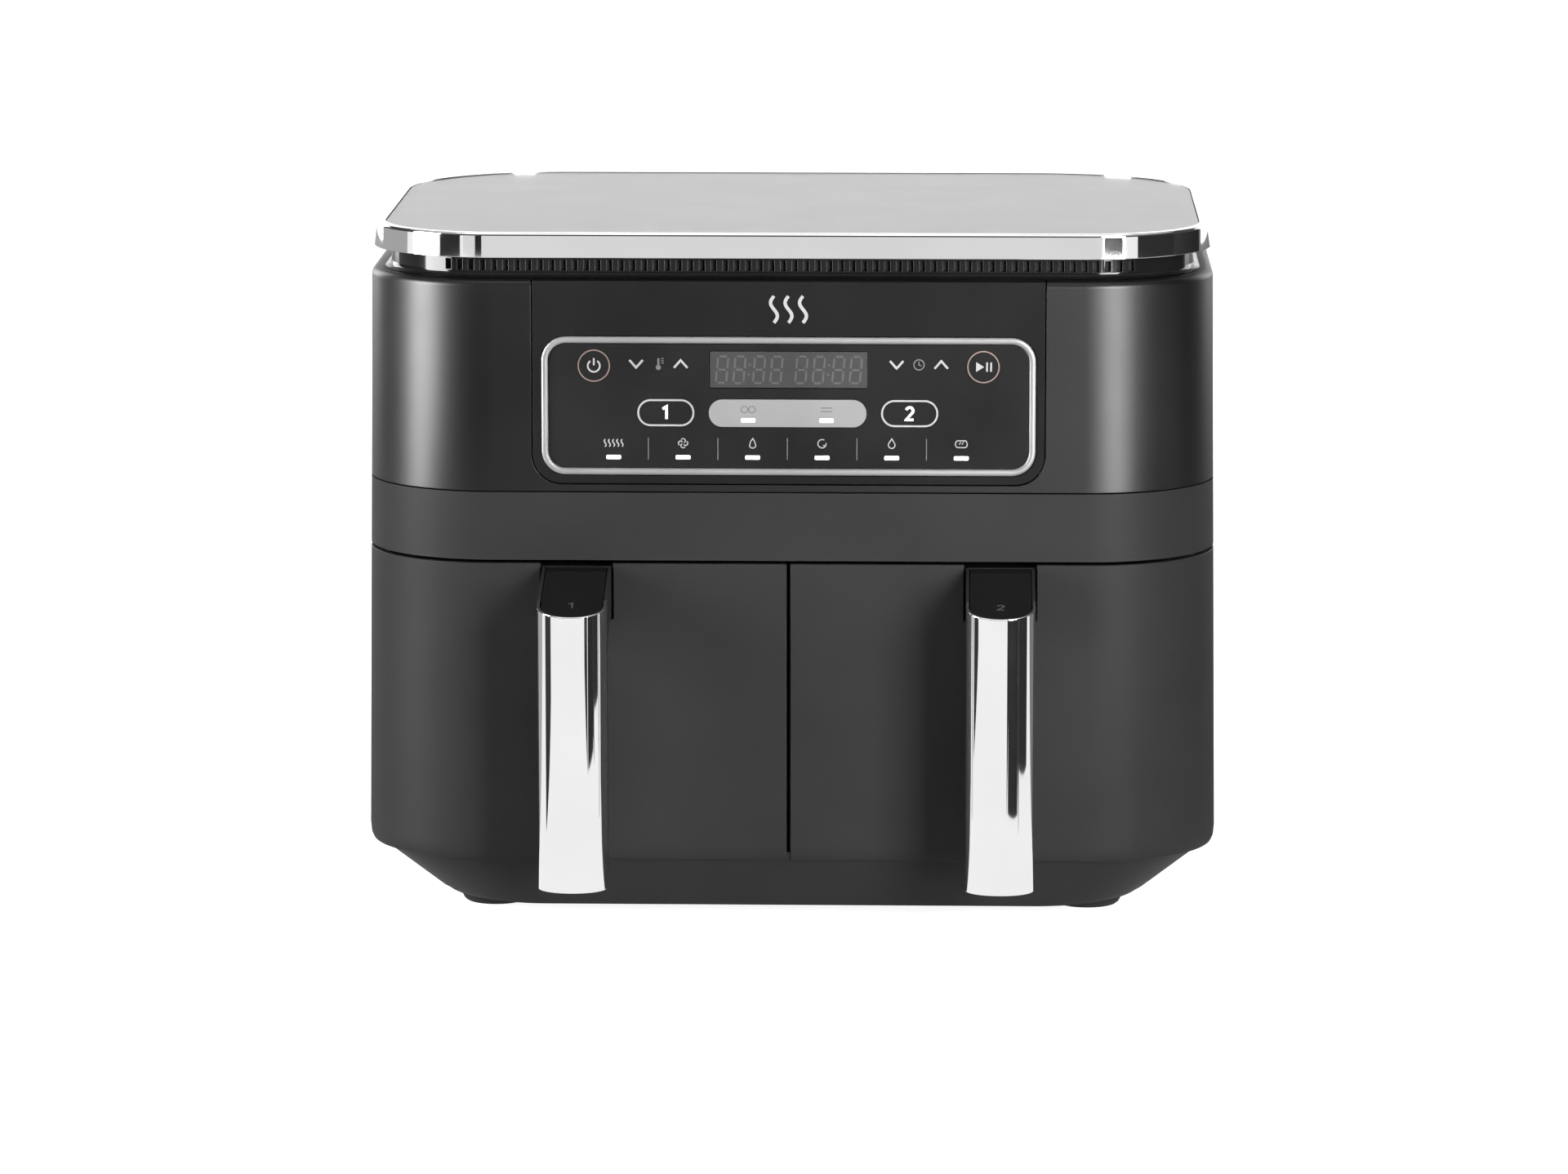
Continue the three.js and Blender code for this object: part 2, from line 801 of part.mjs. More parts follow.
function cordGland() {
  const inside = rearFace - shellWall - seat;
  const collar = glandRadius + glandCollar;
  return cylinderAlongY(cordOutletX, cordOutletZ, inside - 6, rearFace - 0.2, glandRadius)
    .add(cylinderAlongY(cordOutletX, cordOutletZ, inside - 3, inside, collar))
    .subtract(
      cylinderAlongY(cordOutletX, cordOutletZ, inside - 7, rearFace + 1, cordHoleRadius),
    );
}

// A board with its transformer, relays and heat sink, on posts across both cavities.
function powerBoard() {
  const bottom = cavityTop + 8;
  const top = bottom + boardThickness;
  const y0 = cavityRear - 42;
  const posts = [-52, 52].map((x) =>
    cylinder(x, y0 + 20, cavityTop + seat, bottom + 1, 4, 4, 12),
  );
  return union(
    box(-62, 62, y0, y0 + 40, bottom, top),
    box(-54, -24, y0 + 6, y0 + 34, top - 0.5, top + 28),
    box(-14, 2, y0 + 8, y0 + 26, top - 0.5, top + 16),
    box(8, 24, y0 + 8, y0 + 26, top - 0.5, top + 16),
    box(32, 50, y0 + 10, y0 + 30, top - 0.5, top + 22),
    ...posts,
  );
}

// ------------------------------------------------------------------ cooking zone (right)

// The cavity seen from above, set in by a margin, from a front edge to its rounded rear.
function cavityOutline(margin, front) {
  const x0 = cavityInner + margin;
  const x1 = cavityOuter - margin;
  const rear = cavityRear - margin;
  const radius = cavityCorner - margin;
  const shape = new THREE.Shape();
  shape.moveTo(x0, front);
  shape.lineTo(x1, front);
  shape.lineTo(x1, rear - radius);
  shape.absarc(x1 - radius, rear - radius, radius, 0, Math.PI / 2);
  shape.lineTo(x0 + radius, rear);
  shape.absarc(x0 + radius, rear - radius, radius, Math.PI / 2, Math.PI);
  shape.closePath();
  return shape;
}

function cavity() {
  const front = bulkheadBack + seat;
  const floor = cavityBottom + cavityWall;
  const outside = prism(cavityOutline(0, front), cavityBottom, cavityTop, smallArc);
  const inside = prism(
    cavityOutline(cavityWall, front + cavityHeader),
    floor,
    cavityTop - cavityWall,
    smallArc,
  );
  const mouth = box(
    cavityInner + cavityWall,
    cavityOuter - cavityWall,
    front - 1,
    front + cavityHeader + 1,
    floor,
    mouthTop,
  );
  const ceilingHole = (x, radius, sides) =>
    cylinder(x, zoneMiddleY, cavityTop - 3, cavityTop + 1, radius, radius, sides);
  let shell = outside
    .subtract(inside)
    .subtract(mouth)
    .subtract(ceilingHole(zoneX, shaftRadius + shaftHoleGap, 16));
  for (const radius of coilEnds)
    shell = shell.subtract(ceilingHole(zoneX + radius, coilTube + terminalGap, 12));
  return shell;
}

// A tubular element: down through the ceiling, round in a flat coil, and up again.
function heater() {
  const top = cavityTop + 8;
  const bend = coilLevel + 12;
  const steps = 32;
  const startAngle = 0.14;
  const points = [new THREE.Vector3(coilOuter, 0, top), new THREE.Vector3(coilOuter, 0, bend)];
  for (let i = 0; i <= steps; i++) {
    const share = i / steps;
    const angle = startAngle + share * (coilTurns * Math.PI * 2 - 2 * startAngle);
    const radius = coilOuter + (coilInner - coilOuter) * share;
    points.push(new THREE.Vector3(radius * Math.cos(angle), radius * Math.sin(angle), coilLevel));
  }
  points.push(new THREE.Vector3(coilInner, 0, bend), new THREE.Vector3(coilInner, 0, top));
  const path = new THREE.CatmullRomCurve3(points, false, "centripetal");
  const section = new THREE.Shape().absarc(0, 0, coilTube, 0, Math.PI * 2);
  const geometry = new THREE.ExtrudeGeometry(section, {
    steps: 56,
    curveSegments: 3,
    bevelEnabled: false,
    extrudePath: path,
  });
  geometry.translate(zoneX, zoneMiddleY, 0);
  return solidOf(geometry);
}

// A flat guard of rings and spokes between the food and the heater.
function heaterGuard() {
  const z0 = guardLevel - guardThickness / 2;
  const z1 = guardLevel + guardThickness / 2;
  const sides = 18;
  const rings = [guardRadius, guardRadius * 0.62, guardRadius * 0.24].map((radius) =>
    cylinder(0, 0, z0, z1, radius, radius, sides).subtract(
      cylinder(0, 0, z0 - 1, z1 + 1, radius - guardBar, radius - guardBar, sides),
    ),
  );
  let guard = union(...rings);
  const spokes = 6;
  for (let i = 0; i < spokes; i++) {
    const geometry = new THREE.BoxGeometry(guardRadius * 0.8, guardBar * 0.8, guardThickness);
    geometry.translate(guardRadius * 0.58, 0, guardLevel);
    geometry.rotateZ((i * Math.PI * 2) / spokes);
    guard = guard.add(solidOf(geometry));
  }
  const reach = cavityWidth / 2 - cavityWall - seat;
  for (const side of [-1, 1]) {
    const ends = [side * (guardRadius - 2), side * reach].sort((a, b) => a - b);
    guard = guard.add(box(ends[0], ends[1], -6, 6, z0, z1));
  }
  return guard.translate([zoneX, zoneMiddleY, 0]);
}

// ------------------------------------------------------------------ fans and motors

function motorShaft() {
  return cylinder(zoneX, zoneMiddleY, shaftBottom, shaftTop, shaftRadius, shaftRadius, 16);
}

// A disc and hub with upright blades, running round a shaft.
function bladedFan(level, radius, bladeHeight, blades, hubRadius) {
  const disc = 1.4;
  const bore = shaftRadius + 0.15;
  let fan = union(
    cylinder(0, 0, 0, disc, radius, radius, 24),
    cylinder(0, 0, 0, bladeHeight, hubRadius, hubRadius, 16),
  );
  for (let i = 0; i < blades; i++) {
    const geometry = new THREE.BoxGeometry(radius - hubRadius, 1.6, bladeHeight);
    geometry.translate((radius + hubRadius) / 2 - 0.6, 0, bladeHeight / 2);
    geometry.rotateZ((i * Math.PI * 2) / blades);
    fan = fan.add(solidOf(geometry));
  }
  return fan
    .subtract(cylinder(0, 0, -1, bladeHeight + 1, bore, bore, 16))
    .translate([zoneX, zoneMiddleY, level]);
}

const motorFlange = motorRadius + 10;

function motor() {
  const nose = 3;
  const bore = shaftRadius + bearingGap;
  return union(
    cylinder(0, 0, motorBottom, motorTop, motorRadius, motorRadius, 28),
    box(-9, 9, -motorFlange, motorFlange, motorBottom, motorBottom + 2.4),
    cylinder(0, 0, motorBottom - nose, motorTop + nose, motorNose, motorNose, 20),
  )
    .subtract(cylinder(0, 0, motorBottom - 5, motorTop + 5, bore, bore, 16))
    .translate([zoneX, zoneMiddleY, 0]);
}

// A bridge that carries the motor over the cavity's ceiling.
function motorBracket() {
  const half = motorFlange + 4;
  const top = motorBottom - seat;
  const bottom = cavityTop + seat;
  const hole = motorNose + 1.5;
  let bracket = box(-bracketHalf, bracketHalf, -half, half, top - bracketGauge, top);
  for (const side of [-1, 1]) {
    const [y0, y1] = [side * half, side * (half - bracketGauge)].sort((a, b) => a - b);
    const [f0, f1] = [side * (half - 0.2), side * (half + 9)].sort((a, b) => a - b);
    bracket = bracket
      .add(box(-bracketHalf, bracketHalf, y0, y1, bottom, top - 0.4))
      .add(box(-bracketHalf, bracketHalf, f0, f1, bottom, bottom + bracketGauge));
  }
  return bracket
    .subtract(cylinder(0, 0, bottom - 1, top + 1, hole, hole, 20))
    .translate([zoneX, zoneMiddleY, 0]);
}

// ------------------------------------------------------------------ drawer (right)

const handleHalf = handleWidth / 2;
const notchHalf = handleHalf + reveal;
const neckUnder = neckTopAtFace - neckThickness;

function drawerFront() {
  const skin = easedWall(sideLevels(drawerTop), frontWall).intersect(
    box(reveal, width, frontFace - 1, wrapEnd - reveal, 0, height),
  );
  return skin.subtract(
    box(
      zoneX - notchHalf,
      zoneX + notchHalf,
      frontFace - 9,
      panelBack + 9,
      neckUnder - reveal,
      height,
    ),
  );
}

// A hollow moulding behind the drawer front, which closes it off and carries the basket.
function drawerLiner() {
  const x0 = reveal + 1.2;
  const z0 = sideBottom + 2.7;
  const z1 = drawerTop - linerDrop;
  const margin = frontWall + seat;
  const outside = drafted(prism(housingOutline(margin), z0, z1)).intersect(
    box(x0, width, linerFront, linerBack, 0, height),
  );
  const inside = drafted(
    prism(housingOutline(margin + linerWall), z0 + linerWall, z1 - linerWall),
  ).intersect(box(x0 + linerWall, width, linerFront, linerBack - linerWall, 0, height));
  const openFront = box(
    x0 + linerWall,
    width / 2 - frontCorner,
    linerFront - 1,
    linerFront + 9,
    z0 + linerWall,
    z1 - linerWall,
  );
  let liner = outside
    .subtract(inside.add(openFront))
    .subtract(
      box(
        zoneX - notchHalf,
        zoneX + notchHalf,
        linerFront - 1,
        linerFront + 1.4,
        neckUnder,
        height,
      ),
    );
  const hole = screwRadius + 0.5;
  for (const z of screwHeights)
    liner = liner.subtract(cylinderAlongY(zoneX, z, linerBack - 5, linerBack + 1, hole, 12));
  return liner;
}

const basketFoot = 9; // height of the rounding round its bottom

// How far the basket's wall has sloped in at a height.
function basketSlope(z) {
  return (basketDraft * (basketTop - z)) / (basketTop - basketBottom - basketFoot);
}

function basket() {
  const half = [basketWidth / 2, basketLength / 2];
  const size = [basketWidth, basketLength];
  const outline = roundedRect(-half[0], half[0], -half[1], half[1], basketCorner);
  const outside = levelled(
    outline,
    size,
    [
      [basketBottom, basketDraft + 7, basketDraft + 7],
      [basketBottom + 3, basketDraft + 2.4, basketDraft + 2.4],
      [basketBottom + basketFoot, basketDraft, basketDraft],
      [basketTop, 0, 0],
    ],
    basketMiddle,
  );
  const bottomWall = basketDraft + basketWall;
  const inside = levelled(
    outline,
    size,
    [
      [basketBottom + basketWall, bottomWall + 6.7, bottomWall + 6.7],
      [basketBottom + 3.6, bottomWall + 2.5, bottomWall + 2.5],
      [basketBottom + basketFoot + 0.4, bottomWall, bottomWall],
      [basketTop + 1, basketWall, basketWall],
    ],
    basketMiddle,
  );
  const rimOutline = roundedRect(
    -half[0] - basketRim,
    half[0] + basketRim,
    -half[1] - basketRim,
    half[1] + basketRim,
    basketCorner + basketRim,
  );
  const rim = prism(rimOutline, basketTop - basketWall, basketTop)
    .translate([...basketMiddle, 0])
    .subtract(box(0, width, frontFace, basketFront, 0, height));
  let pan = outside.add(rim).subtract(inside);
  const hole = screwRadius + 0.5;
  for (const z of screwHeights)
    pan = pan.subtract(
      cylinderAlongY(zoneX, z, basketFront - 1, basketFront + bottomWall + 2, hole, 12),
    );
  return pan;
}

// ------------------------------------------------------------------ handle (right)

// The handle seen from above: a round tip, straight sides, and a back edge at the given Y.
function handleOutline(margin, back) {
  const half = handleHalf - margin;
  const nose = gripNose - margin;
  const front = tip + margin;
  const shape = new THREE.Shape();
  shape.moveTo(-half, back);
  shape.lineTo(-half, front + nose);
  shape.absellipse(0, front + nose, half, nose, Math.PI, Math.PI * 2);
  shape.lineTo(half, back);
  shape.closePath();
  return shape;
}

// Everything above the neck's sloping top, lowered by a margin.
function aboveNeck(drop) {
  const reach = 4 * handleReach;
  const geometry = new THREE.BoxGeometry(2 * handleWidth, 2 * reach, reach);
  geometry.translate(0, 0, reach / 2);
  geometry.rotateX(neckSlope);
  geometry.translate(0, tip, tipTop - drop);
  return solidOf(geometry);
}

function handleTrim() {
  const back = tip + trimDepth;
  return prism(handleOutline(0, back), gripBottom, drawerTop)
    .subtract(prism(handleOutline(trimWall, back + 5), gripBottom - 1, drawerTop + 1))
    .subtract(aboveNeck(0))
    .translate([zoneX, 0, 0]);
}

function handleCap() {
  const outline = handleOutline(trimWall + seat, frontFace - seat);
  return prism(outline, gripBottom, drawerTop)
    .subtract(aboveNeck(capSunk))
    .intersect(aboveNeck(capSunk + capThickness))
    .translate([zoneX, 0, 0]);
}

// The handle's outline from the side: the grip hanging from the neck.
function handleProfile() {
  const heel = 5;
  const gripBack = tip + gripDepth;
  const bottom = gripBottom + 0.6;
  const side = new THREE.Shape();
  side.moveTo(tip, bottom);
  side.lineTo(gripBack - heel, bottom);
  side.absarc(gripBack - heel, bottom + heel, heel, -Math.PI / 2, 0);
  side.lineTo(gripBack, neckUnder - neckBend);
  side.absarc(gripBack + neckBend, neckUnder - neckBend, neckBend, Math.PI, Math.PI / 2, true);
  side.lineTo(linerFront + 0.6, neckUnder);
  side.lineTo(linerFront + 0.6, drawerTop);
  side.lineTo(tip, drawerTop);
  side.closePath();
  const geometry = new THREE.ExtrudeGeometry(side, {
    depth: handleWidth,
    bevelEnabled: false,
    curveSegments: smallArc,
  });
  geometry.rotateY(Math.PI / 2);
  geometry.rotateX(Math.PI / 2);
  geometry.translate(-handleHalf, 0, 0);
  return solidOf(geometry);
}

// Grip, neck and the tongue that the drawer's screws hold, as one moulding.
function handleCore() {
  const behindTrim = tip + trimDepth + seat;
  const inside = trimWall + seat;
  const fullWidth = prism(handleOutline(0, linerFront + 1), 0, drawerTop).intersect(
    box(-width, width, behindTrim, rearFace, 0, height),
  );
  const withinTrim = prism(handleOutline(inside, linerFront + 1), 0, drawerTop);
  const capRoom = prism(handleOutline(trimWall, frontFace), 0, drawerTop + 1).intersect(
    aboveNeck(capSunk + capThickness + seat),
  );
  const body = union(fullWidth, withinTrim).intersect(handleProfile()).subtract(capRoom);
  const tongueTop = drawerTop - tongueDrop;
  const tongue = box(
    tongueInset - handleHalf,
    handleHalf - tongueInset,
    linerFront + 0.4,
    linerBack - linerWall - seat,
    tongueTop - tongueLength,
    tongueTop,
  );
  const shelf = box(-width, width, frontFace - seat, rearFace, drawerTop - 1.5, height);
  const step = aboveNeck(capSunk);
  let core = union(body.subtract(step), tongue).subtract(shelf);
  const hole = screwRadius + 0.3;
  for (const z of screwHeights)
    core = core.subtract(cylinderAlongY(0, z, linerBack - 18, linerBack + 1, hole, 12));
  return core.translate([zoneX, 0, 0]);
}

// A screw through the basket and the liner into the tongue, with its head in the basket.
function handleScrew(z) {
  const seatAt = basketFront + basketSlope(z - screwHead) + basketWall + seat;
  return union(
    cylinderAlongY(zoneX, z, linerBack - 14, seatAt + 1, screwRadius, 12),
    cylinderAlongY(zoneX, z, seatAt, seatAt + 2.4, screwHead, 14),
  );
}

// ------------------------------------------------------------------ crisper plate (right)

function crisperPlate() {
  const half = [plateSize[0] / 2, plateSize[1] / 2];
  const corner = basketCorner - plateMargin + 1;
  const underside = plateTop - plateGauge;
  const wall = plateSkirtWall;
  const outline = roundedRect(-half[0], half[0], -half[1], half[1], corner);
  const within = roundedRect(
    wall - half[0],
    half[0] - wall,
    wall - half[1],
    half[1] - wall,
    corner - wall,
  );
  let tray = prism(outline, underside - plateSkirt, plateTop, smallArc).subtract(
    prism(within, 0, underside, smallArc),
  );
  const pitchX = (plateSize[0] - 2 * plateBorder) / holeColumns;
  const pitchY = (plateSize[1] - 2 * plateBorder) / holeRows;
  for (let column = 0; column < holeColumns; column++)
    for (let row = 0; row < holeRows; row++) {
      const x = (column - (holeColumns - 1) / 2) * pitchX;
      const y = (row - (holeRows - 1) / 2) * pitchY;
      tray = tray.subtract(
        cylinder(x, y, underside - 1, plateTop + 1, holeRadius, holeRadius, 6),
      );
    }
  const legBottom = basketBottom + basketWall + seat;
  for (const sx of [-1, 1])
    for (const sy of [-1, 1]) {
      const x = sx * (half[0] - plateLegInset[0]);
      const y = sy * (half[1] - plateLegInset[1]);
      const [legX, legY] = [plateLegSize[0] / 2, plateLegSize[1] / 2];
      tray = tray.add(box(x - legX, x + legX, y - legY, y + legY, legBottom, underside + 0.5));
    }
  return tray.translate([...basketMiddle, 0]);
}

// A silicone bumper on the plate's edge, which keeps it off the basket's wall.
function crisperPad() {
  const inner = plateSize[0] / 2 + seat;
  const outer = plateSize[0] / 2 + plateGap - padClearance + seat;
  return box(inner, outer, -padLength / 2, padLength / 2, plateTop - 6, plateTop + 1.6);
}

// ------------------------------------------------------------------ assembly

const part = new THREE.Group();
part.position.y = handleReach / 2; // puts the overall box's middle over the origin

function place(name, solid, material, move = [0, 0, 0]) {
  const mesh = new THREE.Mesh(geometryOf(solid), material);
  mesh.name = name;
  mesh.position.set(...move);
  part.add(mesh);
  return mesh;
}

// A piece of the right-hand zone and its mirror image on the left.
function placePair(name, solid, material, move = [0, 0, 0]) {
  place("right_" + name, solid, material, move);
  const left = place("left_" + name, solid, material.clone(), [-move[0], move[1], move[2]]);
  left.scale.x = -1;
}

place("base_tray", baseTray(), mattePlastic());
place("body_shell", bodyShell(), mattePlastic());
place("upper_shell", upperShell(), satinGraphite());
place("control_fascia", controlFascia(), mattePlastic());
place("trim_frame", trimFrame(), silver());
place("control_panel", controlPanel(), glossBlack());
place("display_lens", displayLens(), smokedLens());
place("control_board", controlBoard(), circuitBoard());
place("vent_ring", ventRing(), glossBlack());
place("lid_band", lidBand(), chrome());
place("lid_plate", lidPlate(), brushedSteel());
place("rear_vent", rearVent(), mattePlastic());
place("cord_gland", cordGland(), rubber());
place("power_board", powerBoard(), circuitBoard());

placePair("front_foot", foot(), rubber(), [footX, footFrontY, 0]);
placePair("rear_foot", foot(), rubber(), [footX, footRearY, 0]);
placePair("cavity", cavity(), steelSheet());
placePair("heater", heater(), heaterSteel());
placePair("heater_guard", heaterGuard(), steelSheet());
placePair("motor", motor(), steelSheet());
placePair("motor_bracket", motorBracket(), steelSheet());

placePair("motor_shaft", motorShaft(), steelSheet());
const convectionFan = bladedFan(fanLevel, fanRadius, fanHeight, fanBlades, fanHub);
placePair("convection_fan", convectionFan, steelSheet());
const coolingFan = bladedFan(
  coolingFanLevel,
  coolingFanRadius,
  coolingFanHeight,
  coolingBlades,
  motorNose,
);
placePair("cooling_fan", coolingFan, mattePlastic());

placePair("basket", basket(), nonStick());
placePair("drawer_front", drawerFront(), mattePlastic());
placePair("drawer_liner", drawerLiner(), mattePlastic());
placePair("handle_core", handleCore(), mattePlastic());
placePair("handle_trim", handleTrim(), chrome());
placePair("handle_cap", handleCap(), glossBlack());
placePair("lower_handle_screw", handleScrew(screwHeights[0]), steelSheet());
placePair("upper_handle_screw", handleScrew(screwHeights[1]), steelSheet());

placePair("crisper_plate", crisperPlate(), nonStick());
const padReach = plateSize[1] / 2 - padSetback;
for (const [end, side] of [
  ["front", -1],
  ["rear", 1],
]) {
  const at = [zoneX, basketMiddle[1] + side * padReach, 0];
  placePair(end + "_outer_pad", crisperPad(), silicone(), at);
  placePair(end + "_inner_pad", crisperPad().mirror([1, 0, 0]), silicone(), at);
}

export default part;
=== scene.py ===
"""A two-drawer air fryer: its looks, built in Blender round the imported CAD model.

Sizes here are in millimetres in the CAD model's frame, and become metres when a mesh is made.
The zone on the right (+X) is built and mirrored to the left.
"""

import math

import bmesh
import bpy
from mathutils import Matrix, Vector


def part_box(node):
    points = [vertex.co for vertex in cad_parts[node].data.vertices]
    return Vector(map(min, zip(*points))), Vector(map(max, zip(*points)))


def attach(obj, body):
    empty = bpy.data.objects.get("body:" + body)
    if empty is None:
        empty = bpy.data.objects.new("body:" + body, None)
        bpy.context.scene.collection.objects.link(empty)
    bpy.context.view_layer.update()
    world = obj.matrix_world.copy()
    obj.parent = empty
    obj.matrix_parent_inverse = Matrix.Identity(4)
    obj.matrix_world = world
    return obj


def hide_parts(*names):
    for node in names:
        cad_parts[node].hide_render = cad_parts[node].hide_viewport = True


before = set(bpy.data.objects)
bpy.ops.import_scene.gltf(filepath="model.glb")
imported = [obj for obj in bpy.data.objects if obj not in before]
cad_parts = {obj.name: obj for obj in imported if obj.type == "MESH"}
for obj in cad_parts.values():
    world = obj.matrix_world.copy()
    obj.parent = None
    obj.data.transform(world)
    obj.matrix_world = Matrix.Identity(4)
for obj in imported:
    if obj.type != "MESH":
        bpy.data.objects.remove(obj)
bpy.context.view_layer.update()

MM = 0.001
scene = bpy.context.scene


def limits(node):
    """Lowest and highest corner of a CAD node, in millimetres."""
    low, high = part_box(node)
    return [v / MM for v in low], [v / MM for v in high]


def middle_of(node):
    """The middle of a CAD node's box, in millimetres."""
    return [(low + high) / 2 for low, high in zip(*limits(node))]


# ------------------------------------------------------------------ sizes shared with the CAD

DRAFT = 6.5e-5  # the housing narrows by this share for each mm up
FRONT_CORNER = 60
REAR_CORNER = 80
GAP = 0.3  # between pieces that rest on each other
REVEAL = 0.8  # round each drawer front
SHELL_WALL = 2.6
HOOD_WALL = 2.4
FRONT_WALL = 3
SIDE_EASE = ((0, 1.6), (2.5, 0.5), (7, 0))  # rise and inset of the sides' lower edge

body_low, body_high = limits("body_shell")
hood_low, hood_high = limits("upper_shell")
base_low, base_high = limits("base_tray")
ring_low, ring_high = limits("vent_ring")
band_low, band_high = limits("lid_band")
lid_low, lid_high = limits("lid_plate")
fascia_low, fascia_high = limits("control_fascia")
frame_low, frame_high = limits("trim_frame")
panel_low, panel_high = limits("control_panel")
lens_low, lens_high = limits("display_lens")
vent_low, vent_high = limits("rear_vent")
front_high = limits("right_drawer_front")[1]
liner_high = limits("right_drawer_liner")[1]
basket_low, basket_high = limits("right_basket")
crisper_low, crisper_high = limits("right_crisper_plate")
cavity_low, cavity_high = limits("right_cavity")
trim_low, trim_high = limits("right_handle_trim")

FRONT = body_low[1]
REAR = body_high[1]
SIDE_BOTTOM = body_low[2]
HALF = body_high[0] / (1 - DRAFT * SIDE_EASE[2][0])
DRAWER_TOP = front_high[2]
APRON_BOTTOM = DRAWER_TOP + 1.5
APRON_TOP = body_high[2]
SHOULDER = hood_high[2]
TOP = band_high[2]
ZONE_X = (trim_low[0] + trim_high[0]) / 2
WRAP_END = front_high[1]  # where the drawer fronts end on the sides
BULKHEAD_FRONT = liner_high[1] + 0.5
BULKHEAD_BACK = cavity_low[1] - GAP
TIP = trim_low[1]
HANDLE_WIDTH = trim_high[0] - trim_low[0]


def draft_share(z):
    """The housing's width at a height, as a share of its width at the foot of the sides."""
    return 1 - DRAFT * (z - SIDE_BOTTOM)


# ------------------------------------------------------------------ camera

CAMERA_DISTANCE = 3000  # from the front face
CAMERA_HEIGHT = 660
CAMERA_SIDE = 82
AIM_HEIGHT = 155.1
AIM_SIDE = -2
LENS = 155  # on Blender's 36 mm sensor


def aimed(obj, place, aim):
    """Puts a camera or a light at a place, turned towards a point."""
    obj.location = place
    obj.rotation_mode = "QUATERNION"
    obj.rotation_quaternion = (Vector(aim) - Vector(place)).to_track_quat("-Z", "Y")


def add_camera():
    camera = bpy.data.objects.new("camera", bpy.data.cameras.new("camera"))
    scene.collection.objects.link(camera)
    scene.camera = camera
    place = Vector((CAMERA_SIDE, FRONT - CAMERA_DISTANCE, CAMERA_HEIGHT)) * MM
    aim = Vector((AIM_SIDE, FRONT, AIM_HEIGHT)) * MM
    aimed(camera, place, aim)
    camera.data.lens = LENS
    camera.data.clip_start = 0.05
    camera.data.clip_end = 200


# ------------------------------------------------------------------ meshes


class Shape:
    """Points in millimetres and faces of one or more closed solids."""

    def __init__(self):
        self.points = []
        self.faces = []

    def loft(self, rings, wrap=False):
        """Joins rings of equal length. The two ends are capped, or joined to each other."""
        start, count = len(self.points), len(rings[0])
        for ring in rings:
            self.points.extend(ring)
        for i in range(len(rings) if wrap else len(rings) - 1):
            a = start + i * count
            b = start + ((i + 1) % len(rings)) * count
            for j in range(count):
                k = (j + 1) % count
                self.faces.append((a + j, a + k, b + k, b + j))
        if not wrap:
            last = start + (len(rings) - 1) * count
            self.faces.append(tuple(range(start, start + count))[::-1])
            self.faces.append(tuple(range(last, last + count)))
        return self

    def box(self, x0, x1, y0, y1, z0, z1):
        ring = ((x0, y0), (x1, y0), (x1, y1), (x0, y1))
        return self.loft([[(x, y, z) for x, y in ring] for z in (z0, z1)])

    def drafted(self):
        self.points = [(x * draft_share(z), y, z) for x, y, z in self.points]
        return self

    def moved(self, x=0.0, y=0.0, z=0.0):
        self.points = [(p[0] + x, p[1] + y, p[2] + z) for p in self.points]
        return self


def make(name, shape):
    """A mesh object from a shape, with its faces turned outwards."""
    mesh = bpy.data.meshes.new(name)
    mesh.from_pydata([(x * MM, y * MM, z * MM) for x, y, z in shape.points], [], shape.faces)
    work = bmesh.new()
    work.from_mesh(mesh)
    bmesh.ops.recalc_face_normals(work, faces=work.faces)
    work.to_mesh(mesh)
    work.free()
    obj = bpy.data.objects.new(name, mesh)
    scene.collection.objects.link(obj)
    return obj


def combine(obj, tool, operation="DIFFERENCE"):
    """Cuts, joins or intersects a mesh object with another, which is used up."""
    modifier = obj.modifiers.new("combine", "BOOLEAN")
    modifier.operation = operation
    modifier.solver = "MANIFOLD"
    modifier.object = tool
    bpy.context.view_layer.update()
    graph = bpy.context.evaluated_depsgraph_get()
    mesh = bpy.data.meshes.new_from_object(obj.evaluated_get(graph))
    obj.modifiers.clear()
    old = obj.data
    obj.data = mesh
    mesh.name = obj.name
    bpy.data.meshes.remove(old)
    bpy.data.objects.remove(tool, do_unlink=True)
    return obj


def cut(obj, shape):
    return combine(obj, make("tool", shape))


def add(obj, shape):
    return combine(obj, make("tool", shape), "UNION")


def keep(obj, shape):
    return combine(obj, make("tool", shape), "INTERSECT")


def mirrored(obj, name):
    """A copy of a piece on the other side of the air fryer."""
    mesh = obj.data.copy()
    mesh.transform(Matrix.Scale(-1, 4, (1, 0, 0)))
    mesh.flip_normals()
    mesh.name = name
    copy = bpy.data.objects.new(name, mesh)
    scene.collection.objects.link(copy)
    return copy


def smooth(obj, angle=35):
    """Smooth shading, with the edges over an angle kept sharp."""
    obj.data.shade_smooth()
    obj.data.set_sharp_from_angle(angle=math.radians(angle))
    return obj


def eased(obj, width=0.4, segments=3, angle=35):
    """Rounds the sharp edges and shades the rest smoothly."""
    obj.data.shade_smooth()
    bevel = obj.modifiers.new("eased_edges", "BEVEL")
    bevel.width = width * MM
    bevel.segments = segments
    bevel.limit_method = "ANGLE"
    bevel.angle_limit = math.radians(angle)
    bevel.use_clamp_overlap = True
    bevel.harden_normals = False
    normals = obj.modifiers.new("weighted_normals", "WEIGHTED_NORMAL")
    normals.keep_sharp = True
    normals.weight = 80
    return obj


# ------------------------------------------------------------------ outlines

CORNER_STEPS = 28  # faces round each corner of the housing
SMALL_STEPS = 8  # and round small corners


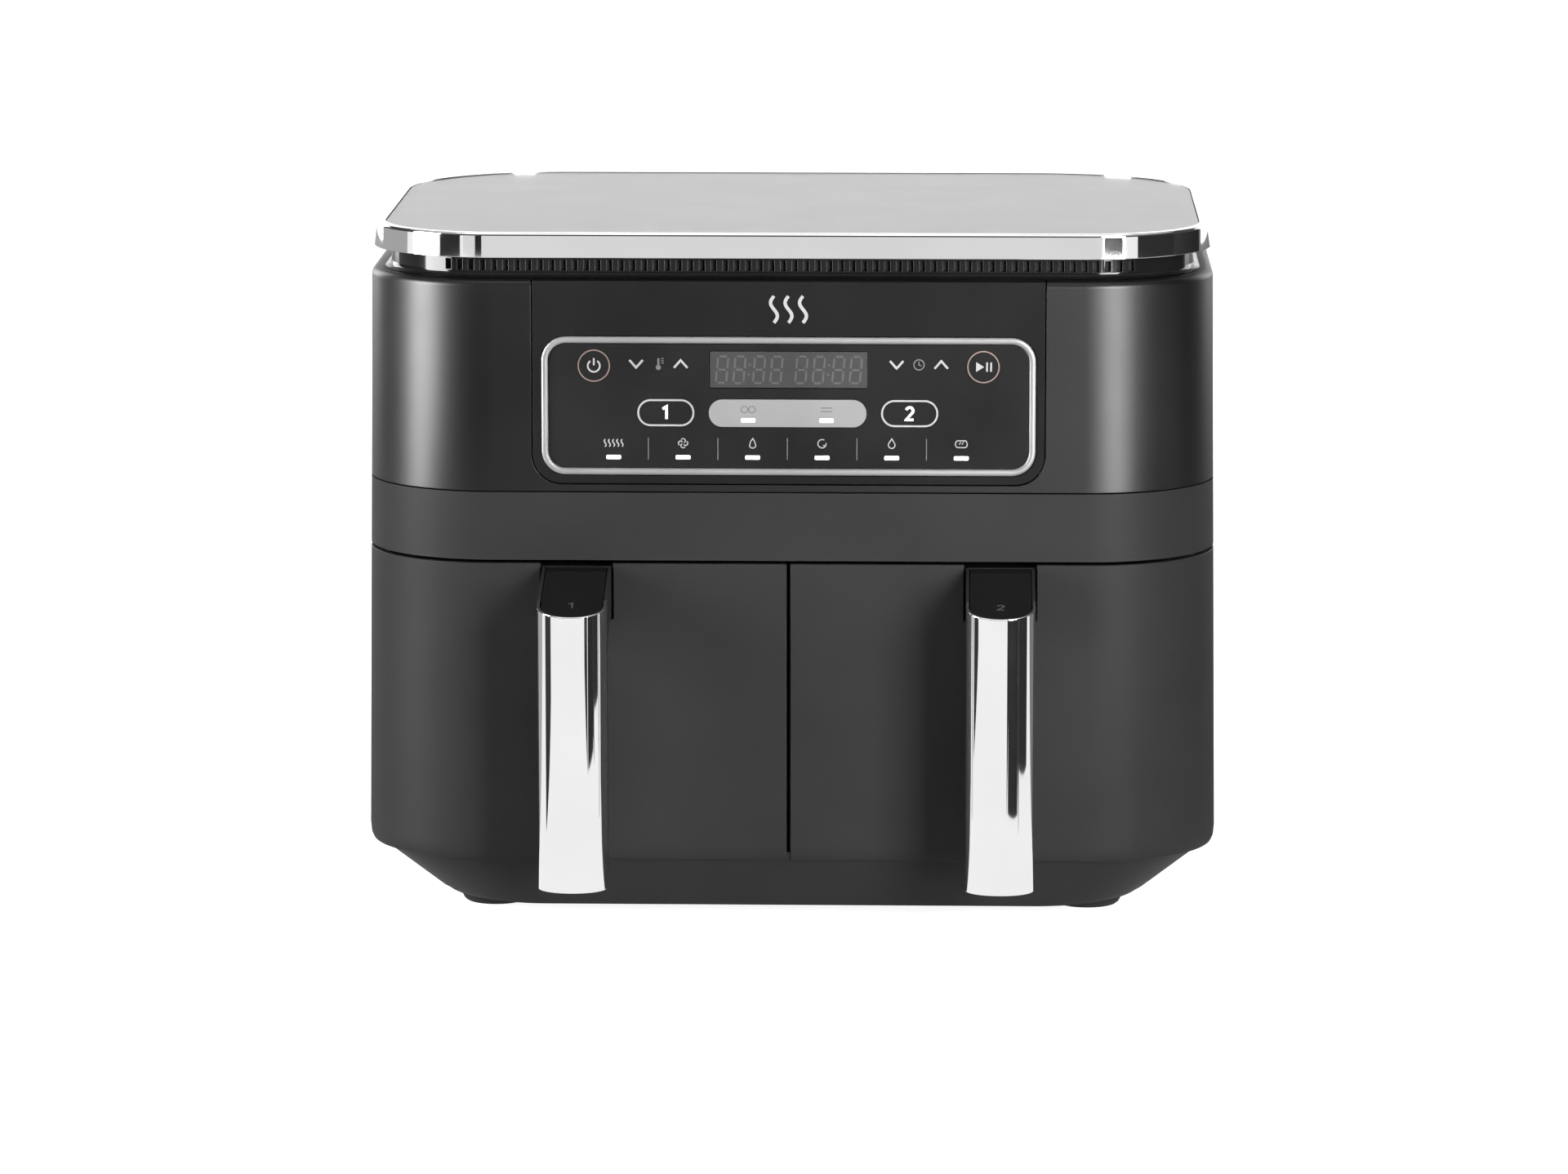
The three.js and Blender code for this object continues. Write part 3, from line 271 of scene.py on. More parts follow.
def arc(x, y, radius, start, end, steps):
    """Stations (x, y, outward x, outward y) along an arc between two angles in degrees."""
    stations = []
    for i in range(steps + 1):
        angle = math.radians(start + (end - start) * i / steps)
        out = (math.cos(angle), math.sin(angle))
        stations.append((x + radius * out[0], y + radius * out[1], *out))
    return stations


def housing_stations():
    """Stations round the housing, from the right front corner anticlockwise."""
    in_front, in_rear = HALF - FRONT_CORNER, HALF - REAR_CORNER
    front_y, rear_y = FRONT + FRONT_CORNER, REAR - REAR_CORNER
    return (
        arc(in_front, front_y, FRONT_CORNER, -90, 0, CORNER_STEPS)
        + arc(in_rear, rear_y, REAR_CORNER, 0, 90, CORNER_STEPS)
        + arc(-in_rear, rear_y, REAR_CORNER, 90, 180, CORNER_STEPS)
        + arc(-in_front, front_y, FRONT_CORNER, 180, 270, CORNER_STEPS)
    )


def housing_sweep(profile):
    """A closed profile of (inset, z) points carried round the whole housing."""
    rings = [
        [(x - ox * inset, y - oy * inset, z) for inset, z in profile]
        for x, y, ox, oy in housing_stations()
    ]
    return Shape().loft(rings, wrap=True).drafted()


def housing_prism(inset, z0, z1):
    outline = [(x - ox * inset, y - oy * inset) for x, y, ox, oy in housing_stations()]
    return Shape().loft([[(x, y, z) for x, y in outline] for z in (z0, z1)]).drafted()


def housing_wall(outer, inner, z0, z1):
    return housing_sweep([(outer, z0), (outer, z1), (inner, z1), (inner, z0)])


def eased_wall(top, wall):
    """The sides, with their rounded lower edge, up to a height."""
    outer = [(inset, SIDE_BOTTOM + rise) for rise, inset in SIDE_EASE]
    return housing_sweep(outer + [(0, top), (wall, top), (wall, SIDE_BOTTOM)])


def rounded(points, radii, steps=SMALL_STEPS):
    """A closed outline whose corners are rounded, each with its own radius."""
    outline = []
    for i, (point, radius) in enumerate(zip(points, radii)):
        here = Vector(point)
        back = (Vector(points[i - 1]) - here).normalized()
        onward = (Vector(points[(i + 1) % len(points)]) - here).normalized()
        if radius <= 0:
            outline.append(tuple(here))
            continue
        half = back.angle(onward) / 2
        middle = here + (back + onward).normalized() * (radius / math.sin(half))
        start = here + back * (radius / math.tan(half)) - middle
        turn = start.angle_signed(here + onward * (radius / math.tan(half)) - middle)
        for k in range(steps + 1):
            swung = Matrix.Rotation(-turn * k / steps, 2) @ start
            outline.append(tuple(middle + swung))
    return outline


def rounded_rect(x0, x1, y0, y1, radius, steps=SMALL_STEPS):
    return rounded([(x0, y0), (x1, y0), (x1, y1), (x0, y1)], [radius] * 4, steps)


def front_rect(low, high, margin, radius, steps=SMALL_STEPS):
    """A rounded rectangle round a box seen from the front."""
    x0, x1, z0, z1 = low[0] - margin, high[0] + margin, low[2] - margin, high[2] + margin
    return rounded_rect(x0, x1, z0, z1, radius, steps)


def upright(outline, z0, z1):
    """A plan outline (x, y) pushed up between two heights."""
    return Shape().loft([[(x, y, z) for x, y in outline] for z in (z0, z1)])


def facing(outline, y0, y1):
    """A front outline (x, z) pushed back between two Y values."""
    return Shape().loft([[(x, y, z) for x, z in outline] for y in (y0, y1)])


def sideways(outline, x0, x1):
    """A side outline (y, z) pushed across between two X values."""
    return Shape().loft([[(x, y, z) for y, z in outline] for x in (x0, x1)])


def turned(profile, steps=48):
    """A profile of (radius, z) points, closed on the axis, turned about Z."""
    rings = []
    for radius, z in profile:
        angles = [2 * math.pi * i / steps for i in range(steps)]
        rings.append([(radius * math.cos(a), radius * math.sin(a), z) for a in angles])
    return Shape().loft(rings)


# ------------------------------------------------------------------ materials


MATERIALS = {}  # by name
PATCH_SIZE = 40


class Finish:
    """A node material: two close colours in soft patches, and a fine grain under them."""

    def __init__(self, name, dark, light, roughness, metallic=0.0, specular=0.5):
        MATERIALS[name] = material = bpy.data.materials.new(name)
        material.use_nodes = True
        self.nodes = material.node_tree.nodes
        self.links = material.node_tree.links
        self.shader = self.nodes["Principled BSDF"]
        self.shader.inputs["Metallic"].default_value = metallic
        self.shader.inputs["Specular IOR Level"].default_value = specular
        self.place = self.nodes.new("ShaderNodeTexCoord").outputs["Object"]
        colour = self.mixed(self.noise(PATCH_SIZE), dark, light)
        self.links.new(colour, self.shader.inputs["Base Color"])
        self.roughness = roughness

    def noise(self, size, stretch=(1, 1, 1), detail=2.0):
        """Noise whose features are about that many millimetres, stretched along an axis."""
        mapping = self.nodes.new("ShaderNodeMapping")
        mapping.inputs["Scale"].default_value = [1 / (size * MM * s) for s in stretch]
        noise = self.nodes.new("ShaderNodeTexNoise")
        noise.inputs["Scale"].default_value = 1
        noise.inputs["Detail"].default_value = detail
        self.links.new(self.place, mapping.inputs["Vector"])
        self.links.new(mapping.outputs["Vector"], noise.inputs["Vector"])
        return noise.outputs[0]

    def mixed(self, share, dark, light, start=0.35, end=0.65):
        """A colour between two greys or colours, as a noise's value goes from start to end."""
        ramp = self.nodes.new("ShaderNodeValToRGB")
        for element, at, colour in zip(ramp.color_ramp.elements, (start, end), (dark, light)):
            element.position = at
            tint = colour if isinstance(colour, tuple) else [colour] * 3
            element.color = (*tint, 1)
        self.links.new(share, ramp.inputs["Fac"])
        return ramp.outputs["Color"]

    def ranged(self, share, low, high, start=0.3, end=0.7):
        spread = self.nodes.new("ShaderNodeMapRange")
        ends = {"From Min": start, "From Max": end, "To Min": low, "To Max": high}
        for name, value in ends.items():
            spread.inputs[name].default_value = value
        self.links.new(share, spread.inputs["Value"])
        return spread.outputs["Result"]

    def grain(self, size, depth, strength=0.5, stretch=(1, 1, 1), smears=25):
        """Fine grain in the surface, and a roughness that changes in soft smears."""
        texture = self.noise(size, stretch, 3)
        rough = self.ranged(self.noise(smears), *self.roughness)
        self.links.new(rough, self.shader.inputs["Roughness"])
        bump = self.nodes.new("ShaderNodeBump")
        bump.inputs["Strength"].default_value = strength
        bump.inputs["Distance"].default_value = depth * MM
        self.links.new(texture, bump.inputs["Height"])
        self.links.new(bump.outputs["Normal"], self.shader.inputs["Normal"])
        return self

    def flecked(self, size, dark, light):
        """Small light flecks scattered over a dark ground."""
        specks = self.mixed(self.noise(size, detail=0), dark, light, 0.61, 0.67)
        self.links.new(specks, self.shader.inputs["Base Color"])
        return self


# Each: name, dark and light tone, roughness from and to, then the grain's size, depth and strength.
# The dark tones are fitted to the studio's lights below, and are lower than real plastic's.

# moulded plastic with a fine spark texture
Finish("matte_graphite", 0.0087, 0.0097, (0.52, 0.56), specular=0.08).grain(0.45, 0.05, 0.35)
# dark satin lacquer, brushed round the body
satin = Finish("satin_graphite", 0.001, 0.0015, (0.36, 0.38), specular=0.3)
satin.grain(0.25, 0.02, 0.25, stretch=(14, 14, 1))
Finish("fascia_black", 0.0035, 0.0045, (0.46, 0.52), specular=0.05).grain(0.4, 0.03, 0.3)
Finish("gloss_black", 0.003, 0.004, (0.07, 0.12), specular=0.2).grain(3, 0.01, 0.1)
Finish("panel_black", 0.006, 0.008, (0.14, 0.2), specular=0.12).grain(2, 0.005, 0.1)
Finish("bright_chrome", 0.88, 0.91, (0.03, 0.05), 1.0).grain(6, 0.01, 0.04)
Finish("silver_trim", 0.16, 0.18, (0.42, 0.5), 0.7).grain(0.5, 0.01, 0.2)
# stainless sheet brushed from side to side
Finish("brushed_top", 0.39, 0.41, (0.34, 0.36), 1.0).grain(0.35, 0.012, 0.2, stretch=(60, 1, 1))
Finish("smoked_lens", 0.019, 0.023, (0.25, 0.32), specular=0.2).grain(1, 0.01, 0.1)
Finish("lit_segment", 0.03, 0.036, (0.4, 0.5), specular=0.2).grain(1, 0.01, 0.1)
Finish("print_white", 0.14, 0.17, (0.45, 0.55), specular=0.2).grain(0.5, 0.01, 0.2)
Finish("print_grey", 0.05, 0.065, (0.45, 0.55), specular=0.2).grain(0.5, 0.01, 0.2)
copper_dark, copper_light = (0.1, 0.072, 0.064), (0.13, 0.094, 0.083)
Finish("print_copper", copper_dark, copper_light, (0.35, 0.45), 0.3).grain(0.5, 0.01, 0.2)
Finish("pill_silver", 0.105, 0.12, (0.4, 0.46), 0.2).grain(0.4, 0.01, 0.2)
Finish("lamp_white", 0.5, 0.56, (0.25, 0.3), specular=0.4).grain(0.6, 0.01, 0.1)
# aluminised sheet with a faint spangle
Finish("cavity_sheet", 0.36, 0.44, (0.32, 0.45), 0.9).grain(5, 0.03, 0.25)
Finish("steel_sheet", 0.42, 0.5, (0.28, 0.4), 1.0).grain(0.4, 0.02, 0.3, (8, 1, 1))
heat_dark, heat_light = (0.13, 0.105, 0.09), (0.2, 0.17, 0.15)
Finish("heater_steel", heat_dark, heat_light, (0.45, 0.6), 0.8).grain(1.2, 0.05, 0.4)
coating = Finish("non_stick", 0.02, 0.028, (0.36, 0.46), 0.1, specular=0.45)
coating.flecked(0.9, 0.022, 0.11).grain(0.6, 0.03, 0.3)
Finish("rubber", 0.007, 0.01, (0.75, 0.85), specular=0.12).grain(0.7, 0.06, 0.5)
Finish("silicone", 0.018, 0.024, (0.55, 0.65), specular=0.4).grain(0.8, 0.03, 0.3)


def circuit_board():
    """Green board with a pattern of lighter tracks."""
    dark, light, track = (0.008, 0.07, 0.025), (0.012, 0.1, 0.035), (0.05, 0.2, 0.08)
    finish = Finish("circuit_board", dark, light, (0.35, 0.45))
    tracks = finish.nodes.new("ShaderNodeTexBrick")
    tracks.inputs["Scale"].default_value = 160
    tracks.inputs["Mortar Size"].default_value = 0.03
    for socket, colour in (("Color1", dark), ("Color2", light), ("Mortar", track)):
        tracks.inputs[socket].default_value = (*colour, 1)
    finish.links.new(finish.place, tracks.inputs["Vector"])
    finish.links.new(tracks.outputs["Color"], finish.shader.inputs["Base Color"])
    finish.grain(1, 0.02, 0.3)


circuit_board()


def dress(obj, finish, body, *nodes):
    """Gives a piece its finish and body, and the CAD nodes that it stands for."""
    obj.data.materials.clear()
    obj.data.materials.append(MATERIALS[finish])
    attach(obj, body)
    if nodes:
        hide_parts(*nodes)
    return obj


def dress_pair(obj, finish, body, *nodes):
    """Dresses a right-hand piece and its mirror image, all names given without a side."""
    name = obj.name
    obj.name = name + "_right"
    left = mirrored(obj, name + "_left")
    for modifier in obj.modifiers:
        copy = left.modifiers.new(modifier.name, modifier.type)
        for key in ("width", "segments", "limit_method", "angle_limit", "keep_sharp", "weight"):
            if hasattr(modifier, key):
                setattr(copy, key, getattr(modifier, key))
    for side, piece in (("right_", obj), ("left_", left)):
        rides = body if body == "housing" else side + body
        dress(piece, finish, rides, *(side + node for node in nodes))


# ------------------------------------------------------------------ housing

RETURN_INSET = FRONT_WALL + 1.2
WEB_FRONT = WRAP_END + REVEAL
WEB_THICKNESS = 4
FAR = 500  # beyond anything on the object
RIB_REACH = 150
RETURN_THICKNESS = 2.4
GLAND_HOLE = 8.3  # its radius
QUARTER_TURN = [math.radians(15 * i) for i in range(7)]


def slab(y0, y1, top=FAR):
    """Everything between two Y values, up to a height."""
    return Shape().box(-FAR, FAR, y0, y1, 0, top)


def add_slice(obj, name, shape, y0, y1):
    """Joins a mesh object with what lies of a shape between two Y values."""
    return combine(obj, keep(make(name, shape), slab(y0, y1)), "UNION")


def base_tray():
    """The tapered base: a shallow bowl with air slots and holes for the feet."""
    low, high = base_low[2], base_high[2]
    # height, then the insets at the sides and at the ends: up the outside, down the inside
    levels = [(low, 34.6, 16.4), (low + 0.7, 34, 16), (low + 2.4, 31, 14.5), (high - 3, 3.4, 2.2)]
    levels += [(high - 1.2, 2.2, 1.3), (high, 1.6, 1)]
    levels += [(high, 4.6, 4), (high - 3, 7, 5.4), (low + 3, 33.5, 18)]
    middle = (FRONT + REAR) / 2
    depth = REAR - FRONT
    rings = []
    for z, side, end in levels:
        across, along = 1 - side / HALF, 1 - 2 * end / depth
        plan = [(x * across, middle + (y - middle) * along) for x, y, _, _ in housing_stations()]
        rings.append([(x, y, z) for x, y in plan])
    tray = make("base", Shape().loft(rings).drafted())
    slots = Shape()
    for side in (-1, 1):
        for i in range(5):
            x, y = side * (ZONE_X - 28), middle + (i - 2) * 14
            ends = rounded_rect(x - 23, x + 23, y - 2, y + 2, 1.9, 4)
            slots.loft([[(a, b, z) for a, b in ends] for z in (low - 1, low + 4)])
    for node in ("front_foot", "rear_foot"):
        for side in ("left_", "right_"):
            x, y, _ = middle_of(side + node)
            hole = turned([(6.3, low - 1), (6.3, low + 4)], 32).moved(x, y)
            slots.loft([hole.points[:32], hole.points[32:]])
    tray = cut(tray, slots)
    ribs = Shape()
    for y in (middle - 61.5, middle + 57.5):
        ribs.box(-RIB_REACH, RIB_REACH, y - 1, y + 1, low + 1, cavity_low[2] - GAP)
    tray = add(tray, ribs)
    dress(eased(tray, 0.5), "matte_graphite", "housing", "base_tray")


def feet():
    """Rubber feet: a domed pad with a grip ring, on a stem pushed into the base."""
    for node in ("front_foot", "rear_foot"):
        low, high = limits("right_" + node)
        radius = (high[0] - low[0]) / 2
        shelf = base_low[2] - GAP
        profile = [(0.01, 0), (radius * 0.3, 0), (radius * 0.34, 0.5), (radius * 0.5, 0.5)]
        profile += [(radius * 0.54, 0), (radius * 0.7, 0), (radius * 0.86, 0.5)]
        profile += [(radius * 0.94, 1.5), (radius, 3.4), (radius, shelf - 0.3)]
        profile += [(radius - 0.4, shelf), (6, shelf), (6, high[2] - 0.8), (5.2, high[2])]
        profile += [(0.01, high[2])]
        foot = turned(profile).moved((low[0] + high[0]) / 2, (low[1] + high[1]) / 2)
        dress_pair(eased(make(node, foot), 0.25, 2), "rubber", "housing", node)


def body_shell():
    """Sides, back and apron, with the bulkhead and soffit seen when a drawer is out."""
    shell = make("shell", eased_wall(APRON_TOP, SHELL_WALL))
    shell = cut(shell, slab(FRONT - 9, WEB_FRONT, APRON_BOTTOM))
    cord_x, _, cord_z = middle_of("cord_gland")
    hole = turned([(GLAND_HOLE, -9), (GLAND_HOLE, 9)])
    hole.points = [(cord_x + a, REAR + c, cord_z + b) for a, b, c in hole.points]
    shell = cut(shell, hole)
    lining, over = RETURN_INSET + RETURN_THICKNESS, APRON_BOTTOM + 1
    web_back = WEB_FRONT + WEB_THICKNESS
    returns = housing_wall(RETURN_INSET, lining, SIDE_BOTTOM, over)
    shell = add_slice(shell, "returns", returns, BULKHEAD_FRONT, web_back)
    web = housing_wall(1.2, lining, SIDE_BOTTOM + 3, over)
    shell = add_slice(shell, "web", web, WEB_FRONT, web_back)
    bulkhead = make("bulkhead", housing_prism(RETURN_INSET, SIDE_BOTTOM, APRON_TOP))
    bulkhead = keep(bulkhead, slab(BULKHEAD_FRONT, BULKHEAD_BACK))
    half = (cavity_high[0] - cavity_low[0]) / 2 - 1.2
    for side in (-1, 1):
        x = side * (cavity_high[0] + cavity_low[0]) / 2
        mouth = rounded_rect(x - half, x + half, cavity_low[2] + 1.5, DRAWER_TOP - 5.5, 6)
        bulkhead = cut(bulkhead, facing(mouth, BULKHEAD_FRONT - 1, BULKHEAD_BACK + 1))
    shell = combine(shell, bulkhead, "UNION")
    soffit = housing_prism(0.8, APRON_BOTTOM, APRON_BOTTOM + 2.4)
    shell = add_slice(shell, "soffit", soffit, FRONT - 1, BULKHEAD_BACK)
    dress(smooth(shell), "matte_graphite", "housing", "body_shell")


def fascia_outline(margin):
    """The fascia from the front, grown by a margin: square above and rounded below."""
    x, bottom, top = fascia_high[0] + margin, fascia_low[2] - margin, fascia_high[2] + margin
    corner = 13 + margin
    return rounded([(-x, bottom), (x, bottom), (x, top), (-x, top)], [corner, corner, 0, 0])


def upper_shell():
    """The satin hood, with a rounded shoulder, let in for the fascia and the rear vent."""
    mouth = 14
    shoulder = 3.2
    edge = [
        (shoulder * (1 - math.cos(a)), SHOULDER - shoulder * (1 - math.sin(a)))
        for a in QUARTER_TURN
    ]
    under = SHOULDER - HOOD_WALL
    profile = [(0, hood_low[2])] + edge + [(mouth, SHOULDER), (mouth, under)]
    profile += [(HOOD_WALL, under), (HOOD_WALL, hood_low[2])]
    hood = make("hood", housing_sweep(profile))
    depth = fascia_high[1] - fascia_low[1] + GAP
    hood = cut(hood, facing(fascia_outline(0.5), FRONT - 5, FRONT + depth))
    x = vent_high[0] + GAP
    opening = rounded_rect(-x, x, vent_low[2] - GAP, vent_high[2] + GAP, 2, 4)
    hood = cut(hood, facing(opening, REAR - 5, REAR + 1))
    dress(eased(hood, 0.35), "satin_graphite", "housing", "upper_shell")


FRAME_CORNER = 11


def control_fascia():
    """The matt plate, with a pocket for the frame and panel and a window for the display."""
    fascia = make("fascia", facing(fascia_outline(0), fascia_low[1], fascia_high[1]))
    pocket = front_rect(frame_low, frame_high, GAP, FRAME_CORNER + GAP)
    fascia = cut(fascia, facing(pocket, FRONT - 1, panel_high[1] + GAP + 0.2))
    window = [lens_low[0] + 3, lens_high[0] - 3, lens_low[2] + 2, lens_high[2] - 2]
    fascia = cut(fascia, facing(rounded_rect(*window, 1, 3), FRONT, fascia_high[1] + 1))
    dress(eased(fascia, 0.5), "fascia_black", "housing", "control_fascia")


def trim_frame():
    """The silver frame: a crowned bar bent round the controls."""
    radius = FRAME_CORNER
    front, back = frame_low[1], frame_high[1]
    bar = 3
    profile = [(0, back), (0, front + 0.7), (0.35, front + 0.2), (1.1, front), (1.9, front)]
    profile += [(2.6, front + 0.2), (bar, front + 0.8), (bar, back)]
    x, z0, z1 = frame_high[0], frame_low[2], frame_high[2]
    stations = (
        arc(x - radius, z1 - radius, radius, 0, 90, 14)
        + arc(radius - x, z1 - radius, radius, 90, 180, 14)
        + arc(radius - x, z0 + radius, radius, 180, 270, 14)
        + arc(x - radius, z0 + radius, radius, 270, 360, 14)
    )
    rings = [[(a - oa * d, y, b - ob * d) for d, y in profile] for a, b, oa, ob in stations]
    bars = make("frame", Shape().loft(rings, wrap=True))
    dress(smooth(bars, 50), "silver_trim", "housing", "trim_frame")


def control_panel():
    """The gloss touch panel, and the smoked lens in its window."""
    panel = make("panel", facing(front_rect(panel_low, panel_high, 0, 7.7), panel_low[1], panel_high[1]))
    window = front_rect(lens_low, lens_high, GAP, 0.9, 3)
    panel = cut(panel, facing(window, panel_low[1] - 1, panel_high[1] + 1))
    dress(eased(panel, 0.15, 2), "panel_black", "housing", "control_panel")
    lens = facing(front_rect(lens_low, lens_high, 0, 0.7, 3), lens_low[1], lens_high[1])
    dress(eased(make("lens", lens), 0.2, 2), "smoked_lens", "housing", "display_lens")


RING_INSET = 9
SLOT_PITCH = 5.2
SLOT_WIDTH = 2.4
SLOT_HEIGHT = 4.6
SLOT_MARGIN = 38


def vent_ring():
    """The gloss neck under the lid, flared and slotted, and a thin black sheet behind its slots: painted
    shade that stands in for the dark inside.
    """
    low, high = ring_low[2], ring_high[2]
    flare = [
        (RING_INSET - 3 * (1 - math.sin(a)), low + 2.6 * (1 - math.cos(a)))
        for a in QUARTER_TURN
    ]
    profile = flare + [(RING_INSET, high), (RING_INSET + 2, high), (RING_INSET + 2, low)]
    ring = make("neck", housing_sweep(profile))
    slots = Shape()
    middle = (low + high) / 2 + 0.8
    count = int((2 * HALF - 2 * SLOT_MARGIN) / SLOT_PITCH)
    radius = FRONT_CORNER - RING_INSET
    for i in range(count):
        x = (i - (count - 1) / 2) * SLOT_PITCH
        along = max(0, abs(x) - (HALF - FRONT_CORNER))
        rise = radius - math.sqrt(radius**2 - along**2)
        slots.box(
            x - SLOT_WIDTH / 2,
            x + SLOT_WIDTH / 2,
            FRONT,
            FRONT + RING_INSET + rise + 5,
            middle - SLOT_HEIGHT / 2,
            middle + SLOT_HEIGHT / 2,
        )
    ring = cut(ring, slots)
    dress(eased(ring, 0.3, 2), "gloss_black", "housing", "vent_ring")
    # painted shade: a thin black wall just behind the slots, standing in for the shade inside the
    # housing
    slot_shade_sheet = housing_wall(RING_INSET + 2.4, RING_INSET + 3, low + 0.4, high - 0.3)
    dress(smooth(make("vent_shade_sheet", slot_shade_sheet)), "rubber", "housing")


def lid():
    """A polished band with a softly rounded top edge, and the brushed plate let into it."""
    inset, ease = 1, 1.3
    seat_inset = 6.2
    ledge = lid_low[2] - GAP
    edge = [
        (inset + ease * (1 - math.cos(a)), TOP - ease * (1 - math.sin(a)))
        for a in QUARTER_TURN
    ]
    profile = [(inset, band_low[2])] + edge + [(seat_inset, TOP), (seat_inset, ledge)]
    profile += [(seat_inset + 6, ledge), (seat_inset + 6, band_low[2])]
    band = make("band", housing_sweep(profile))
    dress(eased(band, 0.3), "bright_chrome", "housing", "lid_band")
    plate = make("top", housing_prism(seat_inset + GAP, lid_low[2], lid_high[2]))
    dress(eased(plate, 0.35), "brushed_top", "housing", "lid_plate")


def cord_gland():
    """The round bush that the cord leaves by."""
    low, high = limits("cord_gland")
    inner, outer, collar = 3.6, 8, 11
    y0, y1 = low[1], high[1]
    back = REAR - SHELL_WALL - GAP
    profile = [(inner, y0), (outer, y0), (outer, back - 3), (collar, back - 3), (collar, back)]
    profile += [(outer, back), (outer, y1), (inner + 0.6, y1), (inner, y1 - 0.6)]
    x, _, z = middle_of("cord_gland")
    rings = []
    for i in range(40):
        a = 2 * math.pi * i / 40
        rings.append([(x + r * math.cos(a), y, z + r * math.sin(a)) for r, y in profile])
    gland = make("gland", Shape().loft(rings, wrap=True))
    dress(eased(gland, 0.3, 2), "rubber", "housing", "cord_gland")


# ------------------------------------------------------------------ drawers


def drawer_front():
    """The matt panel of a drawer, which wraps round the front corner of the housing."""
    panel = make("drawer_panel", eased_wall(DRAWER_TOP, FRONT_WALL))
    panel = keep(panel, Shape().box(REVEAL, FAR, FRONT - 1, WRAP_END, 0, FAR))
    half = HANDLE_WIDTH / 2 + REVEAL
    under = DRAWER_TOP - REVEAL - NECK_THICKNESS - REVEAL
    panel = cut(
        panel,
        Shape().box(ZONE_X - half, ZONE_X + half, FRONT - 9, FRONT + 12, under, FAR),
    )
    dress_pair(eased(panel, 0.6), "matte_graphite", "drawer", "drawer_front")


BASKET_DRAFT = 3
BASKET_WALL = 1.5
BASKET_RIM = 4
BASKET_CORNER = 26


def basket():
    """The drawer's pan: drafted sides, a rounded bottom and a flat rim."""
    bottom, top = basket_low[2], basket_high[2]
    x0, x1 = basket_low[0] + BASKET_RIM, basket_high[0] - BASKET_RIM
    y0, y1 = basket_low[1], basket_high[1] - BASKET_RIM
    foot = 9

    def ring(inset, z):
        corner = max(4, BASKET_CORNER - inset)
        outline = rounded_rect(x0 + inset, x1 - inset, y0 + inset, y1 - inset, corner, 12)
        return [(x, y, z) for x, y in outline]

    def bowl(extra, floor):
        rings = []
        for i in range(8):
            a = math.radians(90 * i / 7)
            curve = 7.5 * (1 - math.sin(a))
            rise = (foot - extra) * (1 - math.cos(a))
            rings.append(ring(BASKET_DRAFT + extra + curve, floor + rise))
        return rings

    rings = bowl(0, bottom)
    under = top - BASKET_WALL
    for inset, z in ((0, under), (-BASKET_RIM, under), (-BASKET_RIM, top), (BASKET_WALL, top)):
        rings.append(ring(inset, z))
    rings += bowl(BASKET_WALL, bottom + BASKET_WALL)[::-1]
    pan = make("pan", Shape().loft(rings))
    pan = cut(pan, Shape().box(0, FAR, y0 - 20, y0, 0, FAR))
    screws = Shape()
    for node in ("right_lower_handle_screw", "right_upper_handle_screw"):
        z = middle_of(node)[2]
        hole = turned([(2.5, -20), (2.5, 20)], 24)
        screws.loft(
            [[(ZONE_X + a, y0 + c, z + b) for a, b, c in hole.points[k : k + 24]] for k in (0, 24)]
        )
    pan = cut(pan, screws)
    dress_pair(eased(pan, 0.3), "non_stick", "drawer", "basket")


def crisper_plate():
    """The plate in the basket: round holes, a skirt and four legs."""
    x, y = ((crisper_low[i] + crisper_high[i]) / 2 for i in (0, 1))
    half = [(crisper_high[i] - crisper_low[i]) / 2 for i in (0, 1)]
    top, underside = crisper_high[2], crisper_high[2] - 2.2
    corner, skirt = 16.5, 1.4

    def plan(inset):
        return rounded_rect(
            x - half[0] + inset, x + half[0] - inset, y - half[1] + inset, y + half[1] - inset,
            corner - inset,
        )

    tray = make("crisper", upright(plan(0), underside - 5, top))
    tray = cut(tray, upright(plan(skirt), underside - 9, underside))
    holes = Shape()
    columns, rows, border = 5, 7, 12
    pitch = [2 * (half[0] - border) / columns, 2 * (half[1] - border) / rows]
    for i in range(columns):
        for j in range(rows):
            at = x + (i - (columns - 1) / 2) * pitch[0], y + (j - (rows - 1) / 2) * pitch[1]
            hole = turned([(5.4, underside - 1), (5.4, top + 1)], 24).moved(*at)
            holes.loft([hole.points[:24], hole.points[24:]])
    tray = cut(tray, holes)
    legs = Shape()
    for sx in (-1, 1):
        for sy in (-1, 1):
            a, b = x + sx * (half[0] - 10), y + sy * (half[1] - 26)
            legs.box(a - 3, a + 3, b - 7.5, b + 7.5, crisper_low[2], underside + 0.5)
    tray = add(tray, legs)
    dress_pair(eased(tray, 0.4, 2), "non_stick", "plate", "crisper_plate")


# ------------------------------------------------------------------ handles

NOSE = 13
NECK_SLOPE = math.radians(15)
NECK_THICKNESS = 24
NECK_BEND = 16
GRIP_DEPTH = 24
TRIM_DEPTH = trim_high[1] - trim_low[1]
TRIM_WALL = 1.4
CAP_THICKNESS = 3
CAP_SUNK = 0.6


def handle_outline(margin, back):
    """The handle from above, about X 0: a full round nose and straight sides."""
    half, nose = HANDLE_WIDTH / 2 - margin, NOSE - margin
    power = 2 / 2.1  # a little squarer than an ellipse
    outline = []
    for i in range(33):
        a = math.pi + math.pi * i / 32
        x = half * math.copysign(abs(math.cos(a)) ** power, math.cos(a))
        y = nose * math.copysign(abs(math.sin(a)) ** power, math.sin(a))
        outline.append((x, TIP + margin + nose + y))
    return outline + [(half, back), (-half, back)]


